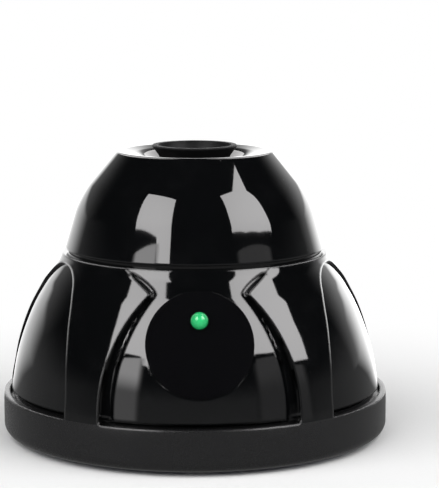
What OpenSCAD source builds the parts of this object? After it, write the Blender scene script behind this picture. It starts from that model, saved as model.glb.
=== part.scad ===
// Mini vortex mixer: a bell-shaped two-part housing, a sprung motor carriage that sinks
// when the rubber cup is pressed, and an eccentric bearing that swings the cup in a circle.
// Millimetres, +Z up, origin on the axis at the bench, front towards -Y.

/* [Base tray] */
// Outer radius of the base tray
base_r = 59; // [56:0.5:64]
// Height of the tray's rim above the bench
rim_z = 13.8; // [13:0.1:16]
// Width of the flat on top of the rim
rim_w = 2; // [1.5:0.1:3]
// Gap between the bench and the underside of the tray
foot_gap = 1.2; // [0.8:0.1:2]
// Rounding of the tray's bottom edge
tray_edge_r = 3; // [1:0.25:4]

/* [Bell] */
// General wall thickness of the mouldings
wall = 2.4; // [2:0.1:2.8]
// Radius of the neck on top of the bell
neck_r = 40.7; // [38:0.1:43]
// Height of the top of the neck
neck_z = 56.5; // [53:0.1:60]
// How far the bell's shoulder stands out from the neck
shoulder_out = 4.5; // [3.5:0.1:5.5]
// How far the shoulder lies below the top of the neck
shoulder_down = 8.5; // [7.5:0.1:9.5]
// How far the knee, where the bell starts to lean in, stands in from the base
knee_in = 5.4; // [4.6:0.1:6.4]
// How far the knee lies below the shoulder
knee_down = 14.8; // [13:0.1:16]
// How far the columns stand out from the arched panels
skin_step = 0.9; // [0.6:0.1:1.2]
// Width of the shadow gap between the arched panels and the tray rim
panel_gap = 0.5; // [0.3:0.1:1]
// Height of the shadow gap above the rim
shadow_h = 1.2; // [0.6:0.1:1.6]
// Number of arched bays around the bell, the front one included
bays = 5; // [5:1:5]

/* [Arched panels] */
// Height of the centre of an arch's round top above the knee
arch_up = 1.9; // [1:0.1:3]
// Radius of an arch's round top
arch_top_r = 19.5; // [18.5:0.1:20]
// Radius of an arch's long sides
arch_side_r = 76.8; // [70:0.5:90]
// Angle at which top and sides meet
arch_join_angle = 36.8; // [34:0.2:40]

/* [Front shield] */
// Half width of the shield at the tray
shield_half_w = 24.8; // [24:0.1:25.5]
// Radius of the shield's curved sides
shield_side_r = 50; // [48:0.2:52]
// Half width of the front opening at the tray
opening_half_w = 28.9; // [28.2:0.1:29.4]
// Radius of the opening's curved sides
opening_side_r = 44.9; // [43:0.1:47]
// Distance of the columns' pointed tips below the top of the neck
tip_down = 6.5; // [6:0.1:7.5]
// Height of the upright stretch of the shield's sides above the tray's rim
shield_upright = 2.7; // [1.5:0.1:4]
// Radius of the curved edge where the groove branches off to the neck
branch_r = 13; // [11:0.5:16]
// Depth of the groove between shield and columns
groove_depth = 1.9; // [1.2:0.1:2.2]
// How far the shield lies below the columns
shield_drop = 0.35; // [0.2:0.05:0.6]

/* [Badge and lamp] */
// Radius of the round badge
badge_r = 15.6; // [14.5:0.1:16]
// Thickness of the badge
badge_t = 0.6; // [0.4:0.1:0.8]
// Height of the badge's centre above the knee
badge_up = 3.6; // [3:0.1:4.5]
// How far the badge's centre stands out from the middle between knee and shoulder
badge_out = 0.5; // [0:0.1:1]
// Backward lean of the badge
badge_lean = 20.5; // [18:0.5:23]
// Distance of the lamp above the badge's centre
lamp_up = 6.9; // [6:0.1:8]
// Radius of the lamp's lens
lamp_r = 2.5; // [2.5:0.25:2.5]

/* [Upper dome] */
// Height of the gap between neck and dome
seam_gap = 1.1; // [0.8:0.1:1.5]
// How much the dome's lip is smaller than the neck
dome_step = 0.4; // [0.2:0.1:0.8]
// How much the dome draws in above its lip
dome_lip_in = 1.2; // [0.9:0.1:1.6]
// How much the dome draws in from there to its shoulder corner
dome_shoulder_in = 4; // [3.4:0.1:4.6]
// Distance of the dome's shoulder corner below the rim
dome_shoulder_down = 13.4; // [12.6:0.1:14.2]
// Height of the rim at the top
top_z = 87.2; // [83:0.1:92]
// Width of the dish between the cup's hole and the rim
dish_w = 9.3; // [8.5:0.1:10.1]
// Depth of the dish inside the rim
dish_depth = 3.2; // [2.6:0.1:4]
// Radius of the hole that the cup works in
cup_hole_r = 14.5; // [14:0.1:15.5]

/* [Rubber cup] */
// How far the cup stands above the rim
cup_proud = 1.6; // [1:0.1:2.5]
// Radius of the cup's lip
cup_lip_r = 13; // [12.4:0.1:13.4]
// Radius of the cup's neck
cup_neck_r = 10.2; // [9.8:0.1:10.6]
// Depth of the cup's hollow
cup_depth = 8.8; // [8:0.1:9.4]
// Radius of the hollow's mouth
cup_mouth_r = 11.3; // [10.8:0.1:11.6]
// Rubber left under the hollow
cup_floor = 2; // [1.6:0.1:2.4]

/* [Drive] */
// Distance of the cup's centre from the motor's axis
orbit_r = 2; // [1.5:0.1:2.2]
// Travel of the carriage when the cup is pressed
press_travel = 1.5; // [1:0.1:1.5]
// Radius of the motor's can
motor_r = 13.85; // [13:0.05:14.5]
// Radius of the motor's shaft
shaft_r = 1.15; // [1:0.05:1.6]
// Outer radius of the cup's ball bearing
bearing_r = 8; // [7.5:0.1:8]
// Bore radius of the ball bearing
bearing_bore_r = 2.5; // [2.5:0.1:3]
// Width of the ball bearing
bearing_w = 5; // [4:0.25:5]
// Radius of the eccentric hub
hub_r = 7; // [6.8:0.1:8]
// Gap between the counterweight and the guide posts
weight_gap = 2.2; // [1.5:0.1:5]

/* [Carriage] */
// Gap between the carriage plate and the neck's inner flange
plate_gap = 2; // [1.4:0.1:2.5]
// Thickness of the carriage plate
plate_t = 2; // [1.5:0.1:2]
// Distance of the guide posts from the carriage plate's edge
post_in = 5; // [5:0.1:6]
// Radius of a guide post
post_r = 3.8; // [3.5:0.1:4]
// Radius of a shoulder screw's shoulder
shoulder_screw_r = 2; // [1.8:0.1:2.2]
// Length of a press spring at rest
spring_len = 9; // [8:0.5:10]
// Radius of the spring wire
spring_wire_r = 0.35; // [0.3:0.05:0.45]
// Turns of a press spring
spring_turns = 5; // [4:1:6]

/* [Underside] */
// Thickness of the bottom plate
floor_t = 2.5; // [2:0.1:3]
// Distance of the bottom screws from the bottom plate's edge
foot_screw_in = 6; // [5.6:0.1:7]
// Radius of the suction foot
foot_r = 25; // [24:0.25:26]
// Radius of one suction cup
sucker_r = 5.2; // [4.8:0.1:5.4]
// Distance of the outer suction cups from the axis
sucker_d = 17; // [16.5:0.1:17.5]
// Number of suction cups around the middle one
suckers = 8; // [6:1:8]

/* [Hidden] */
$fn = 96;

// clearances and standard sizes
run_gap = 0.05;        // radial gap of a running shaft
rest_gap = 0.2;        // gap between a moving face and its stop
part_gap = 0.3;        // gap between parts that pass each other
m3_r = 1.5;
m3_clear_r = 1.7;
m3_head_r = 2.75;
m3_head_h = 2.2;
m2_r = 1;
m2_head_r = 1.9;
m2_head_h = 1.4;
boss_r = 4;
eps = 0.01;
big = 200;

// the bell's profiles, as corners and rounding radii from the tray upwards
knee_r = base_r - knee_in;
shoulder_r = neck_r + shoulder_out;
shoulder_z = neck_z - shoulder_down;
knee_z = shoulder_z - knee_down;
arch_top_z = knee_z + arch_up;
tip_z = neck_z - tip_down;
badge_z = knee_z + badge_up;
badge_y = (knee_r + shoulder_r) / 2 + badge_out;
bell_r = base_r - rim_w - panel_gap;
bell_z = rim_z + shadow_h;
neck_low_r = neck_r - skin_step + 0.8;
neck_low_z = neck_z - 2.3;
bay_floor_z = rim_z - 1.4;
bell_lean = atan((knee_r - shoulder_r) / (shoulder_z - knee_z));
knee_round = 32.1 / sin(bell_lean);     // a steeper lean has a tighter knee
shoulder_round = 20;
neck_round = 6;
flare_round = 25;
shield_foot_out = 0.2;   // how far the shield's foot stands outside the panels'
gable_z = rim_z + shield_upright;
branch_end = [neck_r - 21.3, neck_z - 1.4];   // where the groove's branch runs out

function lean_in(off) = [
    [knee_r + off, knee_z], [shoulder_r + off, shoulder_z],
    [neck_low_r + off, neck_low_z], [neck_r - skin_step + off, neck_z]
];
lean_rounds = [knee_round, shoulder_round, neck_round, 0];

// dome heights
seat_z = neck_z - 0.6;
dome_z = neck_z + seam_gap;
dome_r = neck_r - dome_step;
dome_low_r = dome_r - dome_lip_in;
dome_shoulder_r = dome_low_r - dome_shoulder_in;
dome_shoulder_z = top_z - dome_shoulder_down;
rim_r = cup_hole_r + dish_w;
spigot_r = dome_r - 1.8;
spigot_t = 2.3;
dish_z = top_z - dish_depth;
dish_slope = 0.9;      // fall of the dish's upper face before it rolls down to the hole
dome_boss_r = 3.6;
dome_boss_h = 11;
dome_screw_len = 10;
dome_boss_d = spigot_r - spigot_t - dome_boss_r + 0.9;
flange_t = 2.4;
flange_r = dome_boss_d - 3.5;
pilot_over = 0.5;      // how much deeper a pilot hole is than its screw

// the drive's heights, worked down from the cup's lip
cup_lip_z = top_z + cup_proud;
cup_floor_z = cup_lip_z - cup_depth;
carrier_top_z = cup_floor_z - cup_floor;
carrier_cap_t = 2.5;
bearing_top_z = carrier_top_z - carrier_cap_t;
bearing_z = bearing_top_z - bearing_w;
race_collar_t = 0.5;
hub_top_z = bearing_z - race_collar_t;
hub_h = 10;
hub_z = hub_top_z - hub_h;
plate_top_z = hub_z - 1;
plate_z = plate_top_z - plate_t;
shaft_top_z = hub_z + hub_h / 2;
pin_z = shaft_top_z + 0.5;
pin_top_z = bearing_top_z - rest_gap;
weight_z = hub_z + 2;
weight_h = 6.5;
weight_screw_z = weight_z + weight_h / 2 + 1.4;

// ball bearing and the carrier around it
race_t = (bearing_r - bearing_bore_r) * 0.27;
ball_r = (bearing_r - bearing_bore_r - 2 * race_t) / 2 - 0.02;
ball_circle_r = (bearing_r + bearing_bore_r) / 2;
carrier_r = bearing_r + 2.3;
carrier_neck_r = bearing_r + 0.6;

// guide posts, shoulder screws and springs
plate_r = flange_r - plate_gap;
post_d = plate_r - post_in;
weight_r = post_d - post_r - weight_gap;
post_z = plate_top_z + rest_gap;
bush_flange_t = 1.5;
bush_flange_r = 4.4;
bush_r = 3.2;
spring_top_z = plate_z - bush_flange_t;
spring_z = spring_top_z - spring_len;
washer_t = 0.8;
washer_r = 4.4;
shoulder_head_r = 3.5;
shoulder_head_h = 2.5;
shoulder_thread_l = 9;
spring_mid_r = 3.2;

// bottom plate and foot
floor_r = base_r - tray_edge_r;
floor_top_z = foot_gap + floor_t;
foot_disc_z = 0.9;
foot_disc_t = 1.7;
foot_screw_d = floor_r - foot_screw_in;
foot_plug_d = 9.5;
foot_plug_r = 2;
foot_plug_head_h = 1.8;
screw_seat_z = floor_top_z + 1.3;
plate_boss_top_z = screw_seat_z + 2;
plate_boss_r = m3_head_r + 1.45;
foot_screw_len = 10;
housing_boss_top_z = screw_seat_z + foot_screw_len + 9;

// switch under the motor
switch_l = 20;
switch_w = 6.4;
switch_h = 10;
switch_x = 2.5;
switch_leg_h = 3.2;
switch_z = floor_top_z + switch_leg_h + 1.6;
switch_top_z = switch_z + switch_h;
switch_hole_x = 4.75;
switch_wall_t = 2;
plunger = [3.2, 2.4];
plunger_up = press_travel + 0.3;
plunger_top_z = switch_top_z + plunger_up;

// the motor fills the height between switch and carriage plate
end_cap_t = 3;
rear_boss_t = 1.5;
rear_boss_r = 3;
front_boss_r = 5;
front_boss_t = 1.8;
motor_bottom_z = plunger_top_z + rest_gap;
motor_z = motor_bottom_z + rear_boss_t + end_cap_t;
motor_len = plate_z - motor_z;
can_t = 0.8;
can_in_r = motor_r - can_t;
motor_screw_d = 8;
motor_screw_r = 1.25;
motor_screw_in = 3;
magnet_z = motor_z + 3;
magnet_h = motor_len - 8;
magnet_in_r = can_in_r - 2.65;
core_r = magnet_in_r - 0.5;
core_z = motor_z + 8;
core_h = motor_len - 17;
core_slot_w = 1.6;
winding = [4.2, 6.8, 2.6];
winding_in = 3.4;
commutator_r = 2.6;
commutator_z = motor_z + 2.3;
commutator_h = 3;
brush = [1.6, 2, 2.2];
brush_arm_t = 0.3;
brush_x = commutator_r + run_gap;
brush_z = commutator_z + 0.3;
terminal_d = 8.75;
terminal = [0.5, 3];
terminal_out = 4;

// circuit board beside the motor
board_in_x = motor_r + 4.15;
board_edge_gap = 12;   // from the board to the bottom plate's edge
board_back = 6;        // how far the board lies behind the jack's far side
board = [floor_r - board_in_x - board_edge_gap, 40, 1.6];
board_pos = [board_in_x + board[0] / 2, -board_back];
board_z = floor_top_z + 4.3;
board_hole_in = 2.6;
board_post_r = 2.4;
board_screw_len = 3.3;
capacitor = [4, 11];
small_capacitor = [2.4, 6.6];
capacitor_y = 9;
regulator = [7, 4.5, 15];
regulator_y = -4;
regulator_in = 1;
socket = [6, 7, 6];
socket_wall = 1;
socket_floor = 1.5;
socket_y = -15.2;
socket_pitch = 7.6;
link = [6, 4, 1.6];
link_y = -0.2;

// rear inlet
jack_z = 23;
jack_face_y = knee_r + 2;
jack_r = 3.95;
jack_flange_r = 5.4;
jack_flange_t = 1.4;
jack_wall = 3;
jack_body_l = 9.5;
jack_hole_r = 2.75;
jack_pin_r = 1.05;
jack_nut_r = 5.8;
jack_nut_t = 2;

// ---- helpers ----

// points of the arc that rounds corner b between a and c
function corner(a, b, c, rad) =
    let (u = (a - b) / norm(a - b), v = (c - b) / norm(c - b))
    let (half = acos(u * v) / 2)
    let (t1 = b + u * rad / tan(half), t2 = b + v * rad / tan(half))
    let (m = b + (u + v) / norm(u + v) * rad / sin(half))
    let (a1 = atan2(t1[1] - m[1], t1[0] - m[0]), a2 = atan2(t2[1] - m[1], t2[0] - m[0]))
    let (d = a2 - a1 > 180 ? a2 - a1 - 360 : (a2 - a1 < -180 ? a2 - a1 + 360 : a2 - a1))
    let (n = max(2, ceil(abs(d) / 4)))
    [for (i = [0:n]) m + rad * [cos(a1 + d * i / n), sin(a1 + d * i / n)]];

// polyline through corners p, each rounded by the radius in r
function rounded(p, r) = [
    for (i = [0:len(p) - 1])
        each (r[i] == 0 ? [p[i]] : corner(p[i - 1], p[i], p[i + 1], r[i]))
];

// solid turned from a profile of [radius, height] points, closed to the axis
module turned(points) {
    rotate_extrude()
        polygon(concat([[0, points[0][1]]], points, [[0, points[len(points) - 1][1]]]));
}

module ring(outer, inner, h) {
    difference() {
        cylinder(r = outer, h = h);
        translate([0, 0, -1]) cylinder(r = inner, h = h + 2);
    }
}

// child outline, drawn as width by height, pushed through the front wall
module through_front(depth = big / 2) {
    rotate([90, 0, 0]) linear_extrude(height = depth) children();
}

// places children in the badge's plane: x across, y up the badge, z out of it
module on_badge() {
    translate([0, -badge_y, badge_z]) rotate([90 - badge_lean, 0, 0]) children();
}

module at_thirds(start, distance) {
    for (i = [0:2]) rotate([0, 0, start + 120 * i]) translate([0, -distance, 0]) children();
}

// ---- outlines of the relief, as [width, height] points of the right half from the tray up ----

function mirrored(half) = concat(half,
    [for (i = [len(half) - 1:-1:0]) if (half[i][0] > eps) [-half[i][0], half[i][1]]]);

// long side arcs that run smoothly into a round top
function arch_half() =
    let (reach = arch_side_r - arch_top_r)
    let (side_x = -reach * cos(arch_join_angle), side_z = arch_top_z - reach * sin(arch_join_angle))
    let (start = asin((bay_floor_z - side_z) / arch_side_r), sides = 6, tops = 6)
    concat(
        [for (i = [0:sides]) let (a = start + (arch_join_angle - start) * i / sides)
            [side_x + arch_side_r * cos(a), side_z + arch_side_r * sin(a)]],
        [for (i = [1:tops]) let (a = arch_join_angle + (90 - arch_join_angle) * i / tops)
            [arch_top_r * cos(a), arch_top_z + arch_top_r * sin(a)]]);

// points of an arc from a to b that bulges to the left of the way
function arc_between(a, b, r, steps = 5) =
    let (half = norm(b - a) / 2, way = (b - a) / norm(b - a))
    let (left = [-way[1], way[0]], turn = asin(half / r))
    let (centre = (a + b) / 2 - left * r * cos(turn))
    [for (i = [0:steps]) let (t = turn * (2 * i / steps - 1)) centre + r * (left * cos(t) + way * sin(t))];

// side of the shield or of the opening around it, upright at the tray and leaning in on an arc above
function gable_x(half_w, side_r, z) = half_w - side_r + sqrt(pow(side_r, 2) - pow(z - gable_z, 2));

function gable_half(half_w, side_r, top) =
    let (steps = 7)
    concat([[half_w, bay_floor_z]],
        [for (i = [0:steps]) let (z = gable_z + (top - gable_z) * i / steps)
            [gable_x(half_w, side_r, z), z]]);

// groove between the shield and the right column, with its branch above the column's tip
function groove_points() =
    let (inner = gable_half(shield_half_w, shield_side_r, tip_z))
    let (outer = gable_half(opening_half_w, opening_side_r, tip_z))
    let (branch = arc_between(inner[len(inner) - 1], branch_end, branch_r))
    concat(outer, [branch_end + [0.2, -0.3]],
        [for (i = [len(branch) - 1:-1:1]) branch[i]],
        [for (i = [len(inner) - 1:-1:0]) inner[i]]);

// everything between the middles of the two grooves, up past the neck
function shield_half() = concat(
    gable_half((shield_half_w + opening_half_w) / 2, (shield_side_r + opening_side_r) / 2, tip_z),
    [branch_end, [branch_end[0] + 4.5, neck_z + 3]]);

// ---- lower housing ----

// the columns' surface: tray wall, flare and bell in one
function skin_points() = rounded(
    concat([[base_r - tray_edge_r, foot_gap], [base_r, foot_gap], [base_r, rim_z]],
           lean_in(skin_step)),
    concat([0, tray_edge_r - eps, flare_round], lean_rounds));

// the foot of a bay: the tray's rim, and the narrow neck inside the shadow gap
module bay_foot() {
    square([bell_r - 1.5, bell_z + 1]);
    translate([base_r - rim_w, 0]) square([rim_w + 5, rim_z]);
}

// what a cut leaves standing: a bell whose surface lies `off` outside the arched panels
module bell_keeps(foot_r, off) {
    rotate_extrude() {
        polygon(concat([[0, bell_z]],
            rounded(concat([[foot_r, bell_z]], lean_in(off)), concat([0], lean_rounds)),
            [[neck_r - skin_step + off, neck_z + 5], [0, neck_z + 5]]));
        bay_foot();
    }
}

module housing_cavity() {
    difference() {
        turned(rounded(
            [[floor_r - 1.5, floor_top_z - 1], [floor_r - 1.5, rim_z - 4],
             [bell_r - 1.5 - wall + 0.4, rim_z - 1], [bell_r - wall - 0.2, bell_z + 2],
             [knee_r - wall, knee_z], [shoulder_r - wall - 0.4, shoulder_z - 0.6],
             [neck_low_r - 0.8 - wall, seat_z - flange_t]],
            [0, 0, 0, 0, knee_round, shoulder_round, 0]));
        at_thirds(0, foot_screw_d)
            translate([0, 0, plate_boss_top_z]) cylinder(r = boss_r, h = housing_boss_top_z - plate_boss_top_z);
        on_badge() translate([0, 0, -badge_t - wall]) cylinder(r = badge_r + 1.5, h = wall);
        translate([0, jack_face_y - jack_wall, jack_z]) rotate([-90, 0, 0]) cylinder(r = jack_nut_r + 1.7, h = 8);
    }
}

module lower_housing() {
    color([0.03, 0.03, 0.035])
    difference() {
        union() {
            turned(skin_points());
            on_badge() translate([0, 0, -1.4]) cylinder(r1 = badge_r + 2.3, r2 = badge_r + 0.5, h = 1.4);
        }
        for (i = [1:bays - 1]) rotate([0, 0, i * 360 / bays]) difference() {
            through_front() polygon(mirrored(arch_half()));
            bell_keeps(bell_r, 0);
        }
        for (side = [0, 1]) mirror([side, 0, 0]) difference() {
            through_front() polygon(groove_points());
            bell_keeps(bell_r - 1.6, skin_step - groove_depth);
        }
        difference() {
            through_front() polygon(mirrored(shield_half()));
            bell_keeps(bell_r + shield_foot_out, skin_step - shield_drop);
        }
        on_badge() translate([0, 0, -badge_t]) cylinder(r = badge_r + 0.1, h = 8);
        on_badge() translate([0, lamp_up, -badge_t - wall - 3]) cylinder(r = lamp_r + 0.1, h = 8);
        housing_cavity();
        translate([0, 0, foot_gap - 1]) cylinder(r = floor_r + 0.2, h = floor_t + 1);
        translate([0, 0, seat_z - flange_t - 1]) cylinder(r = flange_r, h = big);
        translate([0, 0, seat_z]) cylinder(r = spigot_r + 0.2, h = big);
        at_thirds(0, foot_screw_d)
            translate([0, 0, plate_boss_top_z - 1]) cylinder(r = m3_r, h = foot_screw_len + pilot_over);
        at_thirds(60, dome_boss_d)
            translate([0, 0, seat_z - flange_t - 1]) cylinder(r = m3_clear_r, h = flange_t + 2);
        translate([0, jack_face_y, jack_z]) rotate([-90, 0, 0]) cylinder(r = jack_flange_r + 0.4, h = 8);
        translate([0, jack_face_y - 10, jack_z]) rotate([-90, 0, 0]) cylinder(r = jack_r + 0.05, h = 20);
        translate([0, jack_face_y - jack_wall - 4, jack_z]) rotate([-90, 0, 0]) cylinder(r = jack_nut_r + 0.7, h = 4);
    }
}

// ---- upper dome ----

function dome_points() = rounded(
    [[spigot_r, seat_z], [spigot_r, dome_z], [dome_r, dome_z], [dome_low_r, dome_z + 2.6],
     [dome_shoulder_r, dome_shoulder_z], [rim_r, top_z], [rim_r - 1.8, top_z],
     [cup_hole_r + 3, top_z - dish_slope], [cup_hole_r, dish_z]],
    [0, 0, 0.5, 6, 27, 0.9, 2, 6, 0]);

module upper_dome() {
    hem_t = 2.2;
    hem_z = dish_z - 5.6;
    inner_r = spigot_r - spigot_t;
    color([0.02, 0.02, 0.025])
    difference() {
        union() {
            rotate_extrude() polygon(concat([[cup_hole_r, seat_z]], dome_points()));
            at_thirds(0, post_d) translate([0, 0, post_z]) cylinder(r = post_r, h = dome_shoulder_z - post_z);
        }
        difference() {
            turned(rounded(
                [[inner_r, seat_z - 1], [inner_r, dome_z + 3],
                 [dome_shoulder_r - wall - 0.3, dome_shoulder_z - 0.8],
                 [rim_r - 1, top_z - wall], [cup_hole_r + 4, top_z - dish_slope - wall],
                 [cup_hole_r + hem_t, dish_z - 0.8], [cup_hole_r + hem_t, hem_z]],
                [0, 0, 25, 1, 3, 0, 0]));
            at_thirds(60, dome_boss_d)
                translate([0, 0, seat_z]) cylinder(r = dome_boss_r, h = dome_boss_h);
            at_thirds(0, post_d)
                translate([0, 0, post_z]) cylinder(r = post_r, h = big);
        }
        at_thirds(60, dome_boss_d) translate([0, 0, seat_z - 1])
            cylinder(r = m3_r, h = dome_screw_len - flange_t + pilot_over + 1);
        at_thirds(0, post_d) translate([0, 0, post_z - 1]) cylinder(r = m3_r, h = shoulder_thread_l + pilot_over + 2);
    }
}

// ---- underside ----

module bottom_plate() {
    color([0.33, 0.34, 0.39])
    difference() {
        union() {
            translate([0, 0, foot_gap]) cylinder(r = floor_r, h = floor_t);
            at_thirds(0, foot_screw_d)
                translate([0, 0, foot_gap]) cylinder(r = plate_boss_r, h = plate_boss_top_z - foot_gap - part_gap / 3);
            board_posts();
            switch_wall();
        }
        translate([0, 0, foot_gap - 1]) cylinder(r = foot_r + 0.2, h = foot_disc_z + foot_disc_t - foot_gap + 1);
        at_thirds(0, foot_screw_d) {
            translate([0, 0, foot_gap - 1]) cylinder(r = m3_head_r + 0.75, h = screw_seat_z - foot_gap + 1);
            translate([0, 0, foot_gap]) cylinder(r = m3_clear_r, h = plate_boss_top_z);
        }
        foot_plugs_at() cylinder(r = foot_plug_r + run_gap, h = floor_top_z + 1);
        board_screws_at() translate([0, 0, board_z - board_screw_len - pilot_over / 2])
            cylinder(r = m2_r, h = board_screw_len + pilot_over);
        switch_screws_at() cylinder(r = m2_r, h = switch_w + switch_wall_t + 1);
    }
}

module board_screws_at() {
    for (x = [-1, 1], y = [-1, 1])
        translate([board_pos[0] + x * (board[0] / 2 - board_hole_in),
                   board_pos[1] + y * (board[1] / 2 - board_hole_in), 0])
            children();
}

module board_posts() {
    board_screws_at() translate([0, 0, floor_top_z - 1]) cylinder(r = board_post_r, h = board_z - floor_top_z + 1);
}

module switch_wall() {
    translate([switch_x - switch_l / 2, switch_w / 2, floor_top_z - 1])
        cube([switch_l, switch_wall_t, switch_z + 6 - floor_top_z]);
    for (x = [-switch_l / 2 + 1, switch_l / 2 - 3])
        translate([switch_x + x, switch_w / 2 + 1, floor_top_z - 1])
            cube([switch_wall_t, 5, switch_z - floor_top_z + 1]);
}

module switch_screws_at() {
    for (x = [-switch_hole_x, switch_hole_x])
        translate([switch_x + x, -switch_w / 2, switch_z + 2.8]) rotate([-90, 0, 0]) children();
}

module bottom_screws() {
    color([0.75, 0.75, 0.77])
    at_thirds(0, foot_screw_d) difference() {
        union() {
            translate([0, 0, screw_seat_z - m3_head_h]) cylinder(r = m3_head_r, h = m3_head_h);
            translate([0, 0, screw_seat_z]) cylinder(r = m3_r, h = foot_screw_len);
        }
        translate([0, 0, screw_seat_z - m3_head_h - 1]) cross_recess(1.6, 2.4);
    }
}

// cross recess for a screw head, as two slots
module cross_recess(reach, depth) {
    for (a = [0, 90]) rotate([0, 0, a]) translate([-reach, -0.3, 0]) cube([2 * reach, 0.6, depth]);
}

module foot_plugs_at() {
    for (i = [0:2]) rotate([0, 0, 60 + 120 * i]) translate([0, -foot_plug_d, 0]) children();
}

module suction_foot() {
    color([0.07, 0.07, 0.07])
    difference() {
        union() {
            translate([0, 0, foot_disc_z]) cylinder(r = foot_r, h = foot_disc_t);
            suckers_at() cylinder(r1 = sucker_r, r2 = sucker_r - 0.5, h = foot_disc_z + eps);
            foot_plugs_at() {
                translate([0, 0, foot_disc_z]) cylinder(r = foot_plug_r, h = floor_top_z - foot_disc_z + 0.1);
                translate([0, 0, floor_top_z])
                    cylinder(r1 = foot_plug_r + 0.9, r2 = foot_plug_r - 0.4, h = foot_plug_head_h);
            }
        }
        suckers_at() translate([0, 0, -eps]) cylinder(r1 = sucker_r - 0.6, r2 = 1.2, h = 1.7);
    }
}

module suckers_at() {
    children();
    for (i = [0:suckers - 1]) rotate([0, 0, i * 360 / suckers]) translate([sucker_d, 0, 0]) children();
}

// ---- badge, lamp and inlet ----

module badge_disc() {
    color([0.05, 0.05, 0.05])
    on_badge() difference() {
        translate([0, 0, -badge_t]) cylinder(r = badge_r, h = badge_t);
        translate([0, lamp_up, -badge_t - 1]) cylinder(r = lamp_r + 0.1, h = 4);
    }
}

module lamp() {
    color([0.1, 0.8, 0.35])
    on_badge() translate([0, lamp_up, 0]) {
        translate([0, 0, -badge_t - wall - 1]) cylinder(r = lamp_r + 0.4, h = 1);
        translate([0, 0, -badge_t - wall - eps]) cylinder(r = lamp_r, h = badge_t + wall + eps);
        intersection() {
            sphere(r = lamp_r);
            translate([0, 0, 0]) cylinder(r = lamp_r + 1, h = lamp_r + 1);
        }
        for (x = [-1.27, 1.27]) translate([x, 0, -badge_t - wall - 9]) cylinder(r = 0.25, h = 8.1);
    }
}

module dc_jack() {
    color([0.12, 0.12, 0.13])
    translate([0, jack_face_y, jack_z]) rotate([-90, 0, 0]) {
        difference() {
            union() {
                cylinder(r = jack_flange_r, h = jack_flange_t);
                translate([0, 0, -jack_body_l]) cylinder(r = jack_r, h = jack_body_l + eps);
            }
            translate([0, 0, 1 - jack_body_l]) cylinder(r = jack_hole_r, h = 20);
        }
        translate([0, 0, 0.5 - jack_body_l]) cylinder(r = jack_pin_r, h = jack_body_l - 1.5);
        for (x = [-1.8, 1.8]) translate([x - 0.8, -0.25, -jack_body_l - 4]) cube([1.6, 0.5, 4.1]);
    }
}

module dc_jack_nut() {
    color([0.7, 0.7, 0.72])
    translate([0, jack_face_y - jack_wall - jack_nut_t, jack_z]) rotate([-90, 0, 0]) difference() {
        cylinder(r = jack_nut_r, h = jack_nut_t, $fn = 6);
        translate([0, 0, -1]) cylinder(r = jack_r, h = jack_nut_t + 2);
    }
}

// ---- fasteners of the housing ----

module dome_screws() {
    color([0.75, 0.75, 0.77])
    at_thirds(60, dome_boss_d) {
        difference() {
            translate([0, 0, seat_z - flange_t - m3_head_h]) cylinder(r = m3_head_r, h = m3_head_h);
            translate([0, 0, seat_z - flange_t - m3_head_h - 1]) cross_recess(1.6, 2.2);
        }
        translate([0, 0, seat_z - flange_t - eps]) cylinder(r = m3_r, h = dome_screw_len);
    }
}

module shoulder_screws() {
    color([0.72, 0.72, 0.75])
    at_thirds(0, post_d) {
        difference() {
            translate([0, 0, spring_z - washer_t - shoulder_head_h]) cylinder(r = shoulder_head_r, h = shoulder_head_h);
            translate([0, 0, spring_z - washer_t - shoulder_head_h - 1])
                cylinder(r = shoulder_head_r * 0.4, h = shoulder_head_h - 0.1, $fn = 6);
        }
        translate([0, 0, spring_z - washer_t - eps])
            cylinder(r = shoulder_screw_r, h = post_z - spring_z + washer_t + eps);
        translate([0, 0, post_z - eps]) cylinder(r = m3_r, h = shoulder_thread_l);
    }
}

module spring_washers() {
    color([0.8, 0.8, 0.8])
    at_thirds(0, post_d) translate([0, 0, spring_z - washer_t]) ring(washer_r, shoulder_screw_r, washer_t);
}

// coil spring as one swept tube, closed end turns included
module coil(mid_r, wire_r, length, turns) {
    sides = 6;
    steps = 16;
    count = turns * steps;
    rise = length - 2 * wire_r;
    ease = function (t) t < 0.15 ? 0.04 * t / 0.15
        : (t > 0.85 ? 0.96 + 0.04 * (t - 0.85) / 0.15 : 0.04 + 0.92 * (t - 0.15) / 0.7);
    points = [
        for (i = [0:count], s = [0:sides - 1])
            let (a = 360 * i / steps, b = 360 * s / sides, r = mid_r + wire_r * cos(b))
            [r * cos(a), r * sin(a), wire_r + rise * ease(i / count) + wire_r * sin(b)]
    ];
    skin = [
        for (i = [0:count - 1], s = [0:sides - 1])
            let (n = (s + 1) % sides)
            [i * sides + s, i * sides + n, (i + 1) * sides + n, (i + 1) * sides + s]
    ];
    polyhedron(points, concat(skin,
        [[for (s = [0:sides - 1]) sides - 1 - s], [for (s = [0:sides - 1]) count * sides + s]]),
        convexity = 8);
}

module press_springs() {
    color([0.7, 0.7, 0.72])
    at_thirds(0, post_d) translate([0, 0, spring_z])
        coil(spring_mid_r, spring_wire_r, spring_len, spring_turns);
}

// ---- carriage ----

module motor_plate() {
    color([0.6, 0.61, 0.63])
    translate([0, 0, plate_z]) difference() {
        cylinder(r = plate_r, h = plate_t);
        translate([0, 0, -1]) cylinder(r = front_boss_r + run_gap, h = plate_t + 2);
        at_thirds(0, post_d) translate([0, 0, -1]) cylinder(r = bush_r, h = plate_t + 2);
        for (a = [0, 180]) rotate([0, 0, a]) translate([motor_screw_d, 0, -1]) cylinder(r = motor_screw_r + 0.15, h = plate_t + 2);
        at_thirds(60, plate_r + 3) translate([0, 0, -1]) cylinder(r = dome_boss_r + 5.4, h = plate_t + 2);
    }
}

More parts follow.
